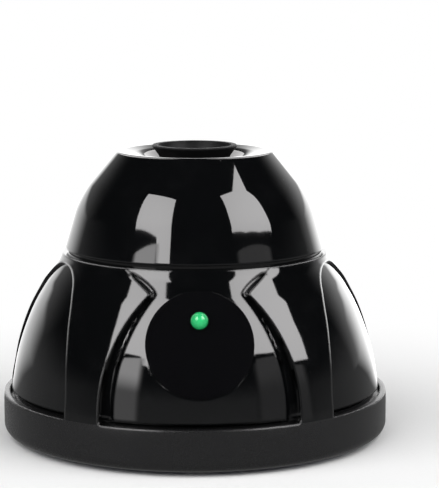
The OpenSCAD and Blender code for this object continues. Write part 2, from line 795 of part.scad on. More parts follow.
module plate_bushings() {
    color([0.85, 0.85, 0.8])
    at_thirds(0, post_d) difference() {
        union() {
            translate([0, 0, spring_top_z]) cylinder(r = bush_flange_r, h = bush_flange_t);
            translate([0, 0, plate_z - eps]) cylinder(r = bush_r, h = plate_t + eps);
        }
        translate([0, 0, spring_top_z - 1]) cylinder(r = shoulder_screw_r + run_gap, h = 10);
    }
}

module motor_can() {
    color([0.72, 0.73, 0.74])
    difference() {
        union() {
            translate([0, 0, motor_z]) cylinder(r = motor_r, h = motor_len);
            translate([0, 0, plate_z - eps]) cylinder(r = front_boss_r, h = front_boss_t);
        }
        translate([0, 0, motor_z - 1]) cylinder(r = can_in_r, h = motor_len - can_t - 1);
        translate([0, 0, motor_z]) cylinder(r = shaft_r + run_gap, h = big);
        for (a = [0, 180]) rotate([0, 0, a]) {
            translate([motor_screw_d, 0, plate_z - motor_screw_in - 1]) cylinder(r = motor_screw_r, h = motor_screw_in + 2);
            rotate([0, 0, 60]) translate([motor_r - 2, -2.5, plate_z - 10]) cube([4, 5, 6]);
        }
    }
}

module motor_end_cap() {
    color([0.92, 0.92, 0.9])
    difference() {
        union() {
            translate([0, 0, motor_z - end_cap_t]) cylinder(r = motor_r - 0.25, h = end_cap_t);
            translate([0, 0, motor_z - eps]) cylinder(r = can_in_r, h = 2);
            translate([0, 0, motor_bottom_z]) cylinder(r = rear_boss_r, h = rear_boss_t + eps);
        }
        translate([0, 0, motor_z - end_cap_t]) cylinder(r = shaft_r + run_gap, h = 10);
        on_brush_sides() translate([terminal_d, -terminal[1] / 2, motor_z - end_cap_t - 1])
            cube([terminal[0], terminal[1], 10]);
    }
}

module motor_magnets() {
    color([0.2, 0.2, 0.2])
    for (a = [90, 270]) rotate([0, 0, a]) translate([0, 0, magnet_z]) intersection() {
        ring(can_in_r - 0.02, magnet_in_r, magnet_h);
        translate([0, 0, -1]) rotate([0, 0, 25])
            linear_extrude(height = magnet_h + 2) polygon(big * [[0, 0], [1, 0], [cos(65), sin(65)],
                [cos(130), sin(130)]]);
    }
}

// brushes and terminals stand across the switch, so that neither meets it
module on_brush_sides() {
    for (a = [90, 270]) rotate([0, 0, a]) children();
}

module motor_brushes() {
    color([0.75, 0.5, 0.25])
    on_brush_sides() {
        translate([brush_x, -brush[1] / 2, brush_z]) cube([brush[0] + brush_arm_t, brush[1], brush[2]]);
        translate([brush_x + brush[0] + brush_arm_t - eps, -brush[1] / 2, brush_z - 0.6])
            cube([terminal_d + brush_arm_t - brush_x - brush[0] - brush_arm_t, brush[1], 0.6]);
    }
}

module motor_terminals() {
    color([0.8, 0.68, 0.35])
    on_brush_sides()
        translate([terminal_d, -terminal[1] / 2, motor_z - end_cap_t - terminal_out])
            cube([terminal[0], terminal[1], end_cap_t + terminal_out + 2]);
}

module motor_screws() {
    color([0.75, 0.75, 0.77])
    for (a = [0, 180]) rotate([0, 0, a]) translate([motor_screw_d, 0, 0]) {
        translate([0, 0, plate_z - motor_screw_in])
            cylinder(r = motor_screw_r, h = plate_t + motor_screw_in + eps);
        translate([0, 0, plate_top_z]) cylinder(r = motor_screw_r + 0.95, h = 0.7);
    }
}

// ---- rotor ----

module motor_shaft() {
    color([0.8, 0.8, 0.82])
    translate([0, 0, motor_z - end_cap_t]) cylinder(r = shaft_r, h = shaft_top_z - motor_z + end_cap_t);
}

module armature_core() {
    color([0.45, 0.45, 0.47])
    translate([0, 0, core_z]) difference() {
        cylinder(r = core_r, h = core_h);
        translate([0, 0, -1]) cylinder(r = shaft_r, h = core_h + 2);
        for (i = [0:2]) rotate([0, 0, 120 * i]) {
            translate([winding_in + 1, 0.2 - winding[1] / 2, -1])
                cube([winding[0] - 1, winding[1] - 0.4, core_h + 2]);
            translate([core_r - 3, -core_slot_w / 2, -1]) cube([5, core_slot_w, core_h + 2]);
        }
    }
}

module armature_windings() {
    color([0.72, 0.4, 0.2])
    for (i = [0:2]) rotate([0, 0, 60 + 120 * i]) {
        for (z = [core_z - winding[2], core_z + core_h])
            translate([winding_in, -winding[1] / 2, z]) cube(winding);
    }
}

module commutator() {
    color([0.75, 0.45, 0.2])
    translate([0, 0, commutator_z]) difference() {
        cylinder(r = commutator_r, h = commutator_h);
        translate([0, 0, -1]) cylinder(r = shaft_r, h = commutator_h + 2);
        for (i = [0:2]) rotate([0, 0, 120 * i])
            translate([commutator_r - 0.8, -0.15, -1]) cube([2, 0.3, commutator_h + 2]);
    }
}

module on_orbit() {
    translate([0, orbit_r, 0]) children();
}

module eccentric_hub() {
    color([0.82, 0.7, 0.4])
    difference() {
        translate([0, 0, hub_z]) cylinder(r = hub_r, h = hub_h);
        translate([0, 0, hub_z - 1]) cylinder(r = shaft_r, h = shaft_top_z - hub_z + 1);
        on_orbit() translate([0, 0, pin_z]) cylinder(r = bearing_bore_r, h = big);
        translate([0, 0, hub_z + 2.2]) rotate([0, 90, 0]) cylinder(r = m2_r, h = big);
        translate([0, 0, weight_screw_z]) rotate([90, 0, 0]) translate([0, 0, 3.2]) cylinder(r = m2_r, h = big);
    }
}

module hub_set_screw() {
    color([0.3, 0.3, 0.32])
    translate([shaft_r, 0, hub_z + 2.2]) rotate([0, 90, 0]) difference() {
        cylinder(r = m2_r, h = hub_r - shaft_r - 0.4);
        translate([0, 0, 3.6]) cylinder(r = 0.5, h = 4, $fn = 6);
    }
}

module counterweight() {
    color([0.65, 0.66, 0.68])
    difference() {
        intersection() {
            translate([0, 0, weight_z]) ring(weight_r, hub_r, weight_h);
            translate([0, 0, weight_z - 1]) linear_extrude(height = weight_h + 2)
                polygon([[0, 0], [-big, -big * tan(20)], [-big, -2 * big], [big, -2 * big], [big, -big * tan(20)]]);
        }
        translate([0, 0, weight_screw_z]) rotate([90, 0, 0]) cylinder(r = m2_r + 0.1, h = big);
        translate([0, -weight_r + 2, weight_screw_z]) rotate([90, 0, 0]) cylinder(r = m2_head_r + 0.2, h = 5);
    }
}

module counterweight_screw() {
    color([0.3, 0.3, 0.32])
    translate([0, 0, weight_screw_z]) rotate([90, 0, 0]) difference() {
        union() {
            translate([0, 0, 3.4]) cylinder(r = m2_r, h = weight_r - 2 - 3.4 + eps);
            translate([0, 0, weight_r - 2]) cylinder(r = m2_head_r, h = m2_head_h);
        }
        translate([0, 0, weight_r - 1.6]) cylinder(r = 0.9, h = 3, $fn = 6);
    }
}

module eccentric_pin() {
    color([0.78, 0.78, 0.8])
    on_orbit() {
        translate([0, 0, pin_z]) cylinder(r = bearing_bore_r, h = pin_top_z - pin_z);
        translate([0, 0, hub_top_z]) ring(bearing_bore_r + 0.9, bearing_bore_r - eps, race_collar_t);
    }
}

module bearing_inner_race() {
    color([0.8, 0.8, 0.82])
    on_orbit() translate([0, 0, bearing_z]) ring(bearing_bore_r + race_t, bearing_bore_r, bearing_w);
}

module bearing_outer_race() {
    color([0.8, 0.8, 0.82])
    on_orbit() translate([0, 0, bearing_z]) ring(bearing_r, bearing_r - race_t, bearing_w);
}

module bearing_balls() {
    color([0.9, 0.9, 0.92])
    on_orbit() for (i = [0:8]) rotate([0, 0, 40 * i])
        translate([ball_circle_r, 0, bearing_z + bearing_w / 2]) sphere(r = ball_r, $fn = 32);
}

// ---- cup ----

module cup_carrier() {
    color([0.2, 0.2, 0.21])
    on_orbit() difference() {
        union() {
            translate([0, 0, bearing_z + 0.3]) cylinder(r = carrier_r, h = bearing_w - 0.5);
            translate([0, 0, bearing_z + 0.3]) cylinder(r = carrier_neck_r, h = carrier_top_z - bearing_z - 0.3);
        }
        translate([0, 0, bearing_z - 1]) cylinder(r = bearing_r, h = bearing_w + 1);
        translate([0, 0, bearing_top_z - eps]) cylinder(r = bearing_r - 1.4, h = 1);
    }
}

module rubber_cup() {
    hollow_r = (pow(cup_mouth_r, 2) + pow(cup_depth, 2)) / (2 * cup_depth);
    skirt_z = bearing_top_z;
    color([0.09, 0.09, 0.095])
    on_orbit() difference() {
        turned(rounded(
            [[cup_neck_r - 0.2, skirt_z], [cup_neck_r, cup_floor_z + 2],
             [cup_lip_r - 2.2, cup_lip_z - 3.5], [cup_lip_r, cup_lip_z - 0.5], [cup_lip_r - 0.1, cup_lip_z],
             [cup_mouth_r, cup_lip_z]],
            [0, 5, 3, 0.3, 0.3, 0]));
        translate([0, 0, cup_floor_z + hollow_r]) sphere(r = hollow_r);
        translate([0, 0, skirt_z - 1]) cylinder(r = carrier_neck_r, h = carrier_top_z - skirt_z + 1);
    }
}

// ---- switch ----

module switch_body() {
    color([0.12, 0.12, 0.13])
    difference() {
        translate([switch_x - switch_l / 2, -switch_w / 2, switch_z]) cube([switch_l, switch_w, switch_h]);
        translate([-plunger[0] / 2 - run_gap, -plunger[1] / 2 - run_gap, switch_z + switch_h / 2])
            cube([plunger[0] + 2 * run_gap, plunger[1] + 2 * run_gap, switch_h]);
        switch_screws_at() translate([0, 0, -1]) cylinder(r = m2_r + 0.1, h = switch_w + 2);
    }
}

module switch_plunger() {
    color([0.75, 0.1, 0.08])
    translate([-plunger[0] / 2, -plunger[1] / 2, switch_z + switch_h / 2 + plunger_up])
        cube([plunger[0], plunger[1], switch_h / 2]);
}

module switch_terminals() {
    color([0.8, 0.68, 0.35])
    for (x = [-8, 0, 8])
        translate([switch_x + x - 0.25, -1.6, switch_z - switch_leg_h]) cube([0.5, 3.2, switch_leg_h]);
}

module switch_screws() {
    color([0.75, 0.75, 0.77])
    switch_screws_at() {
        translate([0, 0, -m2_head_h]) cylinder(r = m2_head_r, h = m2_head_h);
        translate([0, 0, -eps]) cylinder(r = m2_r, h = switch_w + switch_wall_t - 0.2);
    }
}

// ---- circuit board ----

module circuit_board() {
    color([0.05, 0.35, 0.15])
    difference() {
        translate([board_pos[0] - board[0] / 2, board_pos[1] - board[1] / 2, board_z]) cube(board);
        board_screws_at() translate([0, 0, board_z - 1]) cylinder(r = m2_r + 0.15, h = board[2] + 2);
    }
}

module board_screws() {
    color([0.75, 0.75, 0.77])
    board_screws_at() {
        translate([0, 0, board_z - board_screw_len]) cylinder(r = m2_r, h = board[2] + board_screw_len + eps);
        translate([0, 0, board_z + board[2]]) cylinder(r = m2_head_r, h = m2_head_h);
    }
}

module board_components() {
    color([0.15, 0.2, 0.3])
    translate([board_pos[0], board_pos[1], board_z + board[2]]) {
        translate([board[0] * 0.19, capacitor_y, 0]) cylinder(r = capacitor[0], h = capacitor[1]);
        translate([-board[0] * 0.19, capacitor_y, 0]) cylinder(r = small_capacitor[0], h = small_capacitor[1]);
        translate([regulator_in - board[0] * 0.38, regulator_y, 0]) cube(regulator);
        for (i = [0, 1]) translate([board[0] * 0.08, socket_y + socket_pitch * i, 0]) difference() {
            cube(socket);
            translate([socket_wall, socket_wall, socket_floor])
                cube([socket[0] - 2 * socket_wall, socket[1] - 2 * socket_wall, socket[2]]);
        }
        translate([board[0] * 0.12, link_y, 0]) cube(link);
    }
}

lower_housing();
upper_dome();
bottom_plate();
bottom_screws();
suction_foot();
badge_disc();
lamp();
dc_jack();
dc_jack_nut();
dome_screws();
shoulder_screws();
spring_washers();
press_springs();
motor_plate();
plate_bushings();
motor_can();
motor_end_cap();
motor_magnets();
motor_brushes();
motor_terminals();
motor_screws();
motor_shaft();
armature_core();
armature_windings();
commutator();
eccentric_hub();
hub_set_screw();
counterweight();
counterweight_screw();
eccentric_pin();
bearing_inner_race();
bearing_balls();
bearing_outer_race();
cup_carrier();
rubber_cup();
switch_body();
switch_plunger();
switch_terminals();
switch_screws();
circuit_board();
board_screws();
board_components();
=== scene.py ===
"""Bench-top mini vortex mixer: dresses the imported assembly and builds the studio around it."""

import math

import bmesh
import bpy
from bpy.props import FloatProperty, FloatVectorProperty, IntProperty, PointerProperty
from mathutils import Matrix, Vector


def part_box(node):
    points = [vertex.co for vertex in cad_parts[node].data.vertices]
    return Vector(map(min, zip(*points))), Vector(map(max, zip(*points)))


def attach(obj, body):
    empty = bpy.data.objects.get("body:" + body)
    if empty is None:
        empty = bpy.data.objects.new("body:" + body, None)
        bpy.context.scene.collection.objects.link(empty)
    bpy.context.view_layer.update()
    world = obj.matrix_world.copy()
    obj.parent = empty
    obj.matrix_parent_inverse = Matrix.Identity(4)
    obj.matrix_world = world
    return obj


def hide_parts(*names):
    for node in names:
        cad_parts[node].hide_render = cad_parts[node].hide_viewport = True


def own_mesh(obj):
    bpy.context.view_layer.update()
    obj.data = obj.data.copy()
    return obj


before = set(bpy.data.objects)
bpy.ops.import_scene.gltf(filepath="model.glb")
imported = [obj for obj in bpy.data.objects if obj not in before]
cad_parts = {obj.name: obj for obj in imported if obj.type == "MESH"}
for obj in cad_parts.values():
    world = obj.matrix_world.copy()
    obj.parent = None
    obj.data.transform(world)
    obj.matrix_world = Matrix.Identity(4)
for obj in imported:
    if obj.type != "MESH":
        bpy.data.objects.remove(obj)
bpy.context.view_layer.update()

bl_info = {
    "name": "Mini Vortex Mixer",
    "version": (1, 0, 0),
    "blender": (4, 5, 0),
    "location": "3D View > Sidebar > Vortex Mixer",
    "description": "Builds the shells, the cup, the finishes and the studio of a mini vortex mixer",
    "category": "Object",
}

MM = 0.001
FULL_TURN = 2 * math.pi
ARC_STEP = math.radians(2.5)  # longest step along a rounded corner
WELD = 1e-7  # points closer than this are one point
SHARP_ANGLE = 24  # degrees between two faces from which their edge is shaded sharp
PACKED = "packed_"


# ---- sizes and colours that a user would change ----


def length(label, about, default):
    return FloatProperty(
        name=label, description=about, default=default, min=0, unit="LENGTH", precision=4
    )


def colour(label, about, default):
    return FloatVectorProperty(
        name=label, description=about, default=default, size=3, min=0, max=1, subtype="COLOR"
    )


class HousingSizes(bpy.types.PropertyGroup):
    base_r: length("Base radius", "Outer radius of the base tray", 0.059)
    rim_z: length("Rim height", "Height of the tray's rim above the bench", 0.0138)
    rim_w: length("Rim width", "Width of the flat on top of the tray's rim", 0.002)
    foot_gap: length("Foot gap", "Gap between the bench and the tray's underside", 0.0012)
    shadow_h: length("Shadow gap", "Height of the gap between rim and arched panels", 0.0012)
    knee_r: length("Knee radius", "Radius where the bell starts to lean in", 0.0536)
    knee_z: length("Knee height", "Height of the knee", 0.0332)
    shoulder_r: length("Shoulder radius", "Radius of the bell's shoulder", 0.0452)
    shoulder_z: length("Shoulder height", "Height of the shoulder", 0.048)
    neck_r: length("Neck radius", "Radius of the neck on top of the bell", 0.0407)
    neck_z: length("Neck height", "Height of the top of the neck", 0.0565)
    skin_step: length("Column step", "How far the columns stand out from the panels", 0.0009)
    groove_depth: length("Groove depth", "Depth of the groove beside the shield", 0.0019)
    shield_drop: length("Shield drop", "How far the shield lies below the columns", 0.00035)
    steps: IntProperty(
        name="Steps", description="Steps in a full turn of the bell", default=288, min=48
    )


class DomeSizes(bpy.types.PropertyGroup):
    low_r: length("Lower radius", "Radius of the dome above its lip", 0.0391)
    shoulder_r: length("Shoulder radius", "Radius of the dome's shoulder corner", 0.0351)
    shoulder_z: length("Shoulder height", "Height of the dome's shoulder corner", 0.0738)
    rim_r: length("Rim radius", "Radius of the rim at the top", 0.0238)
    top_z: length("Top height", "Height of the rim", 0.0872)
    dish_depth: length("Dish depth", "Depth of the dish inside the rim", 0.0032)
    hole_r: length("Hole radius", "Radius of the hole that the cup works in", 0.0145)


class CupSizes(bpy.types.PropertyGroup):
    lip_r: length("Lip radius", "Radius of the cup's lip", 0.013)
    neck_r: length("Neck radius", "Radius of the cup's neck", 0.0102)
    mouth_r: length("Mouth radius", "Radius of the hollow's mouth", 0.0113)
    depth: length("Hollow depth", "Depth of the cup's hollow", 0.0088)
    orbit: length("Orbit", "Distance of the cup's centre from the motor's axis", 0.002)


class Finishes(bpy.types.PropertyGroup):
    shell: colour("Shell", "Gloss black of the housing and the dome", (0.0022, 0.0024, 0.0027))
    tray: colour("Tray", "Satin black of the base tray", (0.008, 0.008, 0.0085))
    badge: colour("Badge", "Satin black of the badge plate", (0.0025, 0.0025, 0.003))
    rubber: colour("Rubber", "Black rubber of cup and foot", (0.009, 0.009, 0.0095))
    underside: colour("Underside", "Slate grey of the bottom plate", (0.095, 0.1, 0.13))
    lamp: colour("Lamp", "Green of the lamp", (0.01, 0.5, 0.16))


class StudioSizes(bpy.types.PropertyGroup):
    softbox_strength: FloatProperty(
        name="Softbox radiance", description="Radiance of both softboxes in reflections",
        default=8.5, min=0,
    )
    lamp_strength: FloatProperty(
        name="Lamp radiance", description="Radiance of the lamps that light the object",
        default=2.6, min=0,
    )
    softbox_distance: length("Softbox distance", "Distance of the softboxes from the object", 1.7)
    lens: FloatProperty(
        name="Lens", description="Focal length of the camera", default=150.1, unit="CAMERA"
    )
    floor_size: length("Floor size", "Side of the floor", 30.0)


# ---- mesh helpers ----


def profile(corners):
    """Wire in the XZ plane through (x, z, rounding) corners, each rounded by its radius."""
    bm = bmesh.new()
    verts = [bm.verts.new((x, 0, z)) for x, z, _ in corners]
    for a, b in zip(verts, verts[1:]):
        bm.edges.new((a, b))
    for vert, (_, _, rounding) in zip(verts, corners):
        if rounding:
            soften(bm, vert, rounding)
    return bm


def soften(bm, vert, rounding):
    """Rounds one corner of a wire with an arc of the given radius."""
    a, b = [edge.other_vert(vert).co - vert.co for edge in vert.link_edges]
    half = a.angle(b) / 2
    bend = math.pi - 2 * half
    bmesh.ops.bevel(
        bm, geom=[vert], offset=rounding / math.tan(half), offset_type="OFFSET",
        segments=max(2, math.ceil(bend / ARC_STEP)), profile=0.5, affect="VERTICES", material=-1,
    )


def turn(bm, steps):
    """Spins the wire a full turn about Z, and closes poles and seam."""
    geom = bm.verts[:] + bm.edges[:]
    bmesh.ops.spin(
        bm, geom=geom, cent=(0, 0, 0), axis=(0, 0, 1), angle=FULL_TURN, steps=steps, use_merge=True
    )
    bmesh.ops.remove_doubles(bm, verts=bm.verts[:], dist=WELD)
    bmesh.ops.recalc_face_normals(bm, faces=bm.faces[:])
    return bm


def turned(corners, steps):
    """Closed solid turned from corners that start and end on the axis."""
    return turn(profile(corners), steps)


def tube(radius, start, end, steps=48):
    """Solid cylinder from start to end."""
    start, end = Vector(start), Vector(end)
    span = (end - start).length
    bm = turned([(0, 0, 0), (radius, 0, 0), (radius, span, 0), (0, span, 0)], steps)
    turn_to = Vector((0, 0, 1)).rotation_difference(end - start).to_matrix().to_4x4()
    bmesh.ops.transform(bm, matrix=Matrix.Translation(start) @ turn_to, verts=bm.verts[:])
    return bm


def arc_on(bm, vert, centre, angle, steps):
    """Carries a wire on from vert, turned about a centre in the XZ plane; returns its new end."""
    spun = bmesh.ops.spin(bm, geom=[vert], cent=centre, axis=(0, -1, 0), angle=angle, steps=steps)
    return next(item for item in spun["geom_last"] if isinstance(item, bmesh.types.BMVert))


def prism_from_half(bm, depth):
    """Mirrors a half outline about X = 0, fills it and pushes it out towards -Y."""
    bmesh.ops.mirror(bm, geom=bm.verts[:] + bm.edges[:], axis="X", merge_dist=1e-6)
    bmesh.ops.remove_doubles(bm, verts=bm.verts[:], dist=WELD)
    return prism(bm, depth)


def prism(bm, depth):
    """Closes an outline, fills it and pushes it out towards -Y."""
    ends = [vert for vert in bm.verts if len(vert.link_edges) == 1]
    if len(ends) == 2:
        bm.edges.new(ends)
    bmesh.ops.contextual_create(bm, geom=bm.edges[:])
    pushed = bmesh.ops.extrude_face_region(bm, geom=bm.faces[:])
    moved = [item for item in pushed["geom"] if isinstance(item, bmesh.types.BMVert)]
    bmesh.ops.translate(bm, vec=(0, -depth, 0), verts=moved)
    bmesh.ops.recalc_face_normals(bm, faces=bm.faces[:])
    return bm


def rotated(bm, degrees):
    """Copy of a mesh turned about Z."""
    copy = bm.copy()
    spin = Matrix.Rotation(math.radians(degrees), 3, "Z")
    bmesh.ops.rotate(copy, cent=(0, 0, 0), matrix=spin, verts=copy.verts[:])
    return copy


def mirrored(bm):
    """Copy of a mesh mirrored about X = 0."""
    copy = bm.copy()
    bmesh.ops.scale(copy, vec=(-1, 1, 1), verts=copy.verts[:])
    bmesh.ops.recalc_face_normals(copy, faces=copy.faces[:])
    return copy


def nearest(bm, x, z):
    """The point of a wire in the XZ plane that is nearest to a place."""
    return min(bm.verts, key=lambda vert: (vert.co - Vector((x, 0, z))).length)


def carry_on(bm, vert, places):
    """Carries a wire on from vert through (x, z) places; returns its new end."""
    for x, z in places:
        following = bm.verts.new((x, 0, z))
        bm.edges.new((vert, following))
        vert = following
    return vert


def to_object(bm, name):
    mesh = bpy.data.meshes.new(name)
    bm.to_mesh(mesh)
    bm.free()
    piece = bpy.data.objects.new(name, mesh)
    bpy.context.scene.collection.objects.link(piece)
    return piece


def bake_modifiers(piece):
    """Puts what the modifiers make of a piece in place of its mesh."""
    graph = bpy.context.evaluated_depsgraph_get()
    baked = bpy.data.meshes.new_from_object(piece.evaluated_get(graph))
    if not baked.polygons:
        raise RuntimeError(f"{piece.name}: its modifiers left nothing")
    piece.modifiers.clear()
    piece.data = baked


def combine(piece, other, operation):
    """Applies a boolean of the piece with another object, which is then removed."""
    modifier = piece.modifiers.new("combine", "BOOLEAN")
    modifier.operation = operation
    modifier.solver = "MANIFOLD"
    modifier.object = other
    bake_modifiers(piece)
    bpy.data.objects.remove(other)


def round_edges(piece, radius):
    """Rounds the edges of a piece at which it bends more than 50 degrees."""
    bevel = piece.modifiers.new("round", "BEVEL")
    bevel.width = radius
    bevel.segments = 4
    bevel.limit_method = "ANGLE"
    bevel.angle_limit = math.radians(50)
    bevel.use_clamp_overlap = False
    bake_modifiers(piece)


def smooth(piece, degrees):
    """Shades a piece smooth, apart from edges that bend more than the given angle."""
    mesh = piece.data
    mesh.polygons.foreach_set("use_smooth", [True] * len(mesh.polygons))
    mesh.set_sharp_from_angle(angle=math.radians(degrees))


def finish_piece(piece, material, body, replaced):
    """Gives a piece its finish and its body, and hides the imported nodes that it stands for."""
    piece.data.materials.clear()
    piece.data.materials.append(bpy.data.materials[material])
    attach(piece, body)
    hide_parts(*replaced)


# ---- node helpers ----


def feed(tree, socket, value):
    """Gives an input its value, or links it to an output."""
    if isinstance(value, bpy.types.NodeSocket):
        tree.links.new(value, socket)
    else:
        socket.default_value = value


def put(tree, kind, settings=None, **inputs):
    """Adds a node; its inputs are named with _ for a space, or i and their number."""
    node = tree.nodes.new(kind)
    for key, value in (settings or {}).items():
        setattr(node, key, value)
    for key, value in inputs.items():
        by_place = key[1:].isdigit()
        feed(tree, node.inputs[int(key[1:]) if by_place else key.replace("_", " ")], value)
    return node


def math_node(tree, operation, a, b=0.0):
    return put(tree, "ShaderNodeMath", {"operation": operation}, i0=a, i1=b).outputs[0]


def times(tree, a, b):
    return math_node(tree, "MULTIPLY", a, b)


def larger(tree, a, b):
    return math_node(tree, "MAXIMUM", a, b)


def remap(tree, value, low, high, to_low=0.0, to_high=1.0):
    return put(
        tree, "ShaderNodeMapRange", {"interpolation_type": "SMOOTHSTEP"},
        Value=value, From_Min=low, From_Max=high, To_Min=to_low, To_Max=to_high,
    ).outputs["Result"]


def blend_colour(tree, factor, a, b):
    node = tree.nodes.new("ShaderNodeMix")
    node.data_type = "RGBA"
    feed(tree, node.inputs[0], factor)
    for socket, tone in ((node.inputs[6], a), (node.inputs[7], b)):
        feed(tree, socket, tone if isinstance(tone, bpy.types.NodeSocket) else (*tone, 1))
    return node.outputs[2]


def new_group(name, inputs, outputs):
    """Empty shader group; returns it with its input node and a function that ends it."""
    group = bpy.data.node_groups.new(name, "ShaderNodeTree")
    kind = "NodeSocketFloat"
    for label, default in inputs:
        group.interface.new_socket(label, in_out="INPUT", socket_type=kind).default_value = default
    for label in outputs:
        group.interface.new_socket(label, in_out="OUTPUT", socket_type=kind)
    start = group.nodes.new("NodeGroupInput")
    end = group.nodes.new("NodeGroupOutput")

    def close(**results):
        for label, socket in results.items():
            group.links.new(socket, end.inputs[label.replace("_", " ")])

    return group, start, close


def object_coords(tree):
    return tree.nodes.new("ShaderNodeTexCoord").outputs["Object"]


def distance_to(tree, place):
    """Distance of a shaded point from a place in the object's own space."""
    here = object_coords(tree)
    away = put(tree, "ShaderNodeVectorMath", {"operation": "DISTANCE"}, i0=here, i1=place)
    return away.outputs["Value"]


def moulding_group():
    """Slow waviness and fine grain of a moulded surface."""
    inputs = [("Grain Scale", 3000), ("Grain", 0.2)]
    group, start, close = new_group("moulding", inputs, ["Height", "Cloud"])
    coords = object_coords(group)
    slow = put(group, "ShaderNodeTexNoise", Vector=coords, Scale=28, Detail=1)
    scale = start.outputs["Grain Scale"]
    fine = put(group, "ShaderNodeTexNoise", Vector=coords, Scale=scale, Detail=2)
    grain = times(group, fine.outputs[0], start.outputs["Grain"])
    close(Height=math_node(group, "ADD", grain, slow.outputs[0]), Cloud=slow.outputs[0])


def handling_group():
    """Smudges and hairline scratches left by handling."""
    group, start, close = new_group("handling", [("Amount", 0.5)], ["Smudge", "Hairline"])
    coords = object_coords(group)
    patches = put(group, "ShaderNodeTexNoise", Vector=coords, Scale=70, Detail=5, Roughness=0.62)
    smudge = times(group, remap(group, patches.outputs[0], 0.5, 0.72), start.outputs["Amount"])
    streaks = put(
        group, "ShaderNodeMapping", Vector=coords, Rotation=(0.4, 0.9, 0.3), Scale=(60, 4200, 60)
    )
    hairs = put(group, "ShaderNodeTexNoise", Vector=streaks.outputs[0], Scale=1, Detail=1)
    hairline = times(group, remap(group, hairs.outputs[0], 0.68, 0.75), start.outputs["Amount"])
    close(Smudge=smudge, Hairline=hairline)


def dust_group():
    """Specks of dust, thicker on faces that look up."""
    group, start, close = new_group("dust", [("Amount", 0.5)], ["Mask"])
    coords = object_coords(group)
    specks = put(group, "ShaderNodeTexVoronoi", Vector=coords, Scale=420)
    near = remap(group, specks.outputs["Distance"], 0.02, 0.07, 1.0, 0.0)
    where = put(group, "ShaderNodeTexNoise", Vector=coords, Scale=160, Detail=2)
    rare = remap(group, where.outputs[0], 0.6, 0.66)
    normal = group.nodes.new("ShaderNodeNewGeometry").outputs["Normal"]
    up = put(group, "ShaderNodeSeparateXYZ", Vector=normal).outputs[2]
    mask = times(group, times(group, near, rare), remap(group, up, 0.1, 0.9))
    close(Mask=times(group, mask, start.outputs["Amount"]))


def machining_group():
    """Fine lines round the vertical axis, as a lathe or a drawing die leaves them."""
    group, start, close = new_group("machining", [("Pitch", 6000)], ["Height", "Tone"])
    coords = put(group, "ShaderNodeSeparateXYZ", Vector=object_coords(group))
    x, y, z = coords.outputs
    squares = math_node(group, "ADD", times(group, x, x), times(group, y, y))
    radius = math_node(group, "SQRT", squares)
    along = put(group, "ShaderNodeCombineXYZ", X=radius, Y=z)
    lines = put(
        group, "ShaderNodeTexNoise", Vector=along.outputs[0], Scale=start.outputs["Pitch"], Detail=2
    )
    tone = put(group, "ShaderNodeTexNoise", Vector=object_coords(group), Scale=180, Detail=4)
    close(Height=lines.outputs[0], Tone=tone.outputs[0])


def use_group(tree, name, **inputs):
    node = tree.nodes.new("ShaderNodeGroup")
    node.node_tree = bpy.data.node_groups[name]
    for key, value in inputs.items():
        node.inputs[key.replace("_", " ")].default_value = value
    return node.outputs


# ---- finishes ----


def new_material(name):
    material = bpy.data.materials.new(name)
    material.use_nodes = True
    tree = material.node_tree
    return material, tree, tree.nodes["Principled BSDF"]


def rounded_bump(tree, height, distance, edge_r, strength=1.0):
    """Bump on top of edges that are rounded in the shading by edge_r."""
    edges = put(tree, "ShaderNodeBevel", {"samples": 6}, Radius=edge_r)
    return put(
        tree, "ShaderNodeBump", Height=height, Distance=distance, Strength=strength,
        Normal=edges.outputs[0],
    ).outputs[0]


def wire_up(tree, shader, **inputs):
    for key, value in inputs.items():
        feed(tree, shader.inputs[key.replace("_", " ")], value)


def gloss_plastic(name, base, roughness=0.03, edge_r=0.7 * MM, satin=None, satin_below=0.0):
    """Polished black moulding; below a height it may be the satin of the tray."""
    _, tree, shader = new_material(name)
    skin = use_group(tree, "moulding", Grain_Scale=2600, Grain=0.02)
    marks = use_group(tree, "handling", Amount=0.5)
    dust = use_group(tree, "dust", Amount=0.6)["Mask"]
    colour_out = blend_colour(tree, marks["Smudge"], base, [c * 1.25 + 0.002 for c in base])
    rough = remap(tree, marks["Smudge"], 0.0, 1.0, roughness, roughness + 0.05)
    if satin:
        height = put(tree, "ShaderNodeSeparateXYZ", Vector=object_coords(tree)).outputs[2]
        low = remap(tree, height, satin_below, satin_below + 0.1 * MM, 1.0, 0.0)
        grain = use_group(tree, "moulding", Grain_Scale=4200, Grain=1.0)["Height"]
        colour_out = blend_colour(tree, low, colour_out, satin)
        added = times(tree, low, remap(tree, grain, 0.3, 1.3, 0.16, 0.26))
        rough = math_node(tree, "ADD", rough, added)
    colour_out = blend_colour(tree, dust, colour_out, (0.35, 0.34, 0.33))
    wire_up(
        tree, shader, Base_Color=colour_out,
        Roughness=math_node(tree, "ADD", rough, times(tree, dust, 0.5)),
        IOR=1.52, Normal=rounded_bump(tree, skin["Height"], 0.03 * MM, edge_r, 0.35),
    )


def satin_plastic(name, base, roughness=0.42, grain=1.0, edge_r=0.3 * MM):
    _, tree, shader = new_material(name)
    skin = use_group(tree, "moulding", Grain_Scale=5200, Grain=grain)
    marks = use_group(tree, "handling", Amount=0.6)
    dust = use_group(tree, "dust", Amount=0.5)["Mask"]
    darker, lighter = [c * 0.85 for c in base], [min(1, c * 1.15) for c in base]
    tone = blend_colour(tree, skin["Cloud"], darker, lighter)
    wire_up(
        tree, shader, Base_Color=blend_colour(tree, dust, tone, (0.4, 0.39, 0.37)),
        Roughness=remap(tree, marks["Smudge"], 0.0, 1.0, roughness, roughness * 0.75),
        Normal=rounded_bump(tree, skin["Height"], 0.02 * MM, edge_r, 0.6),
    )


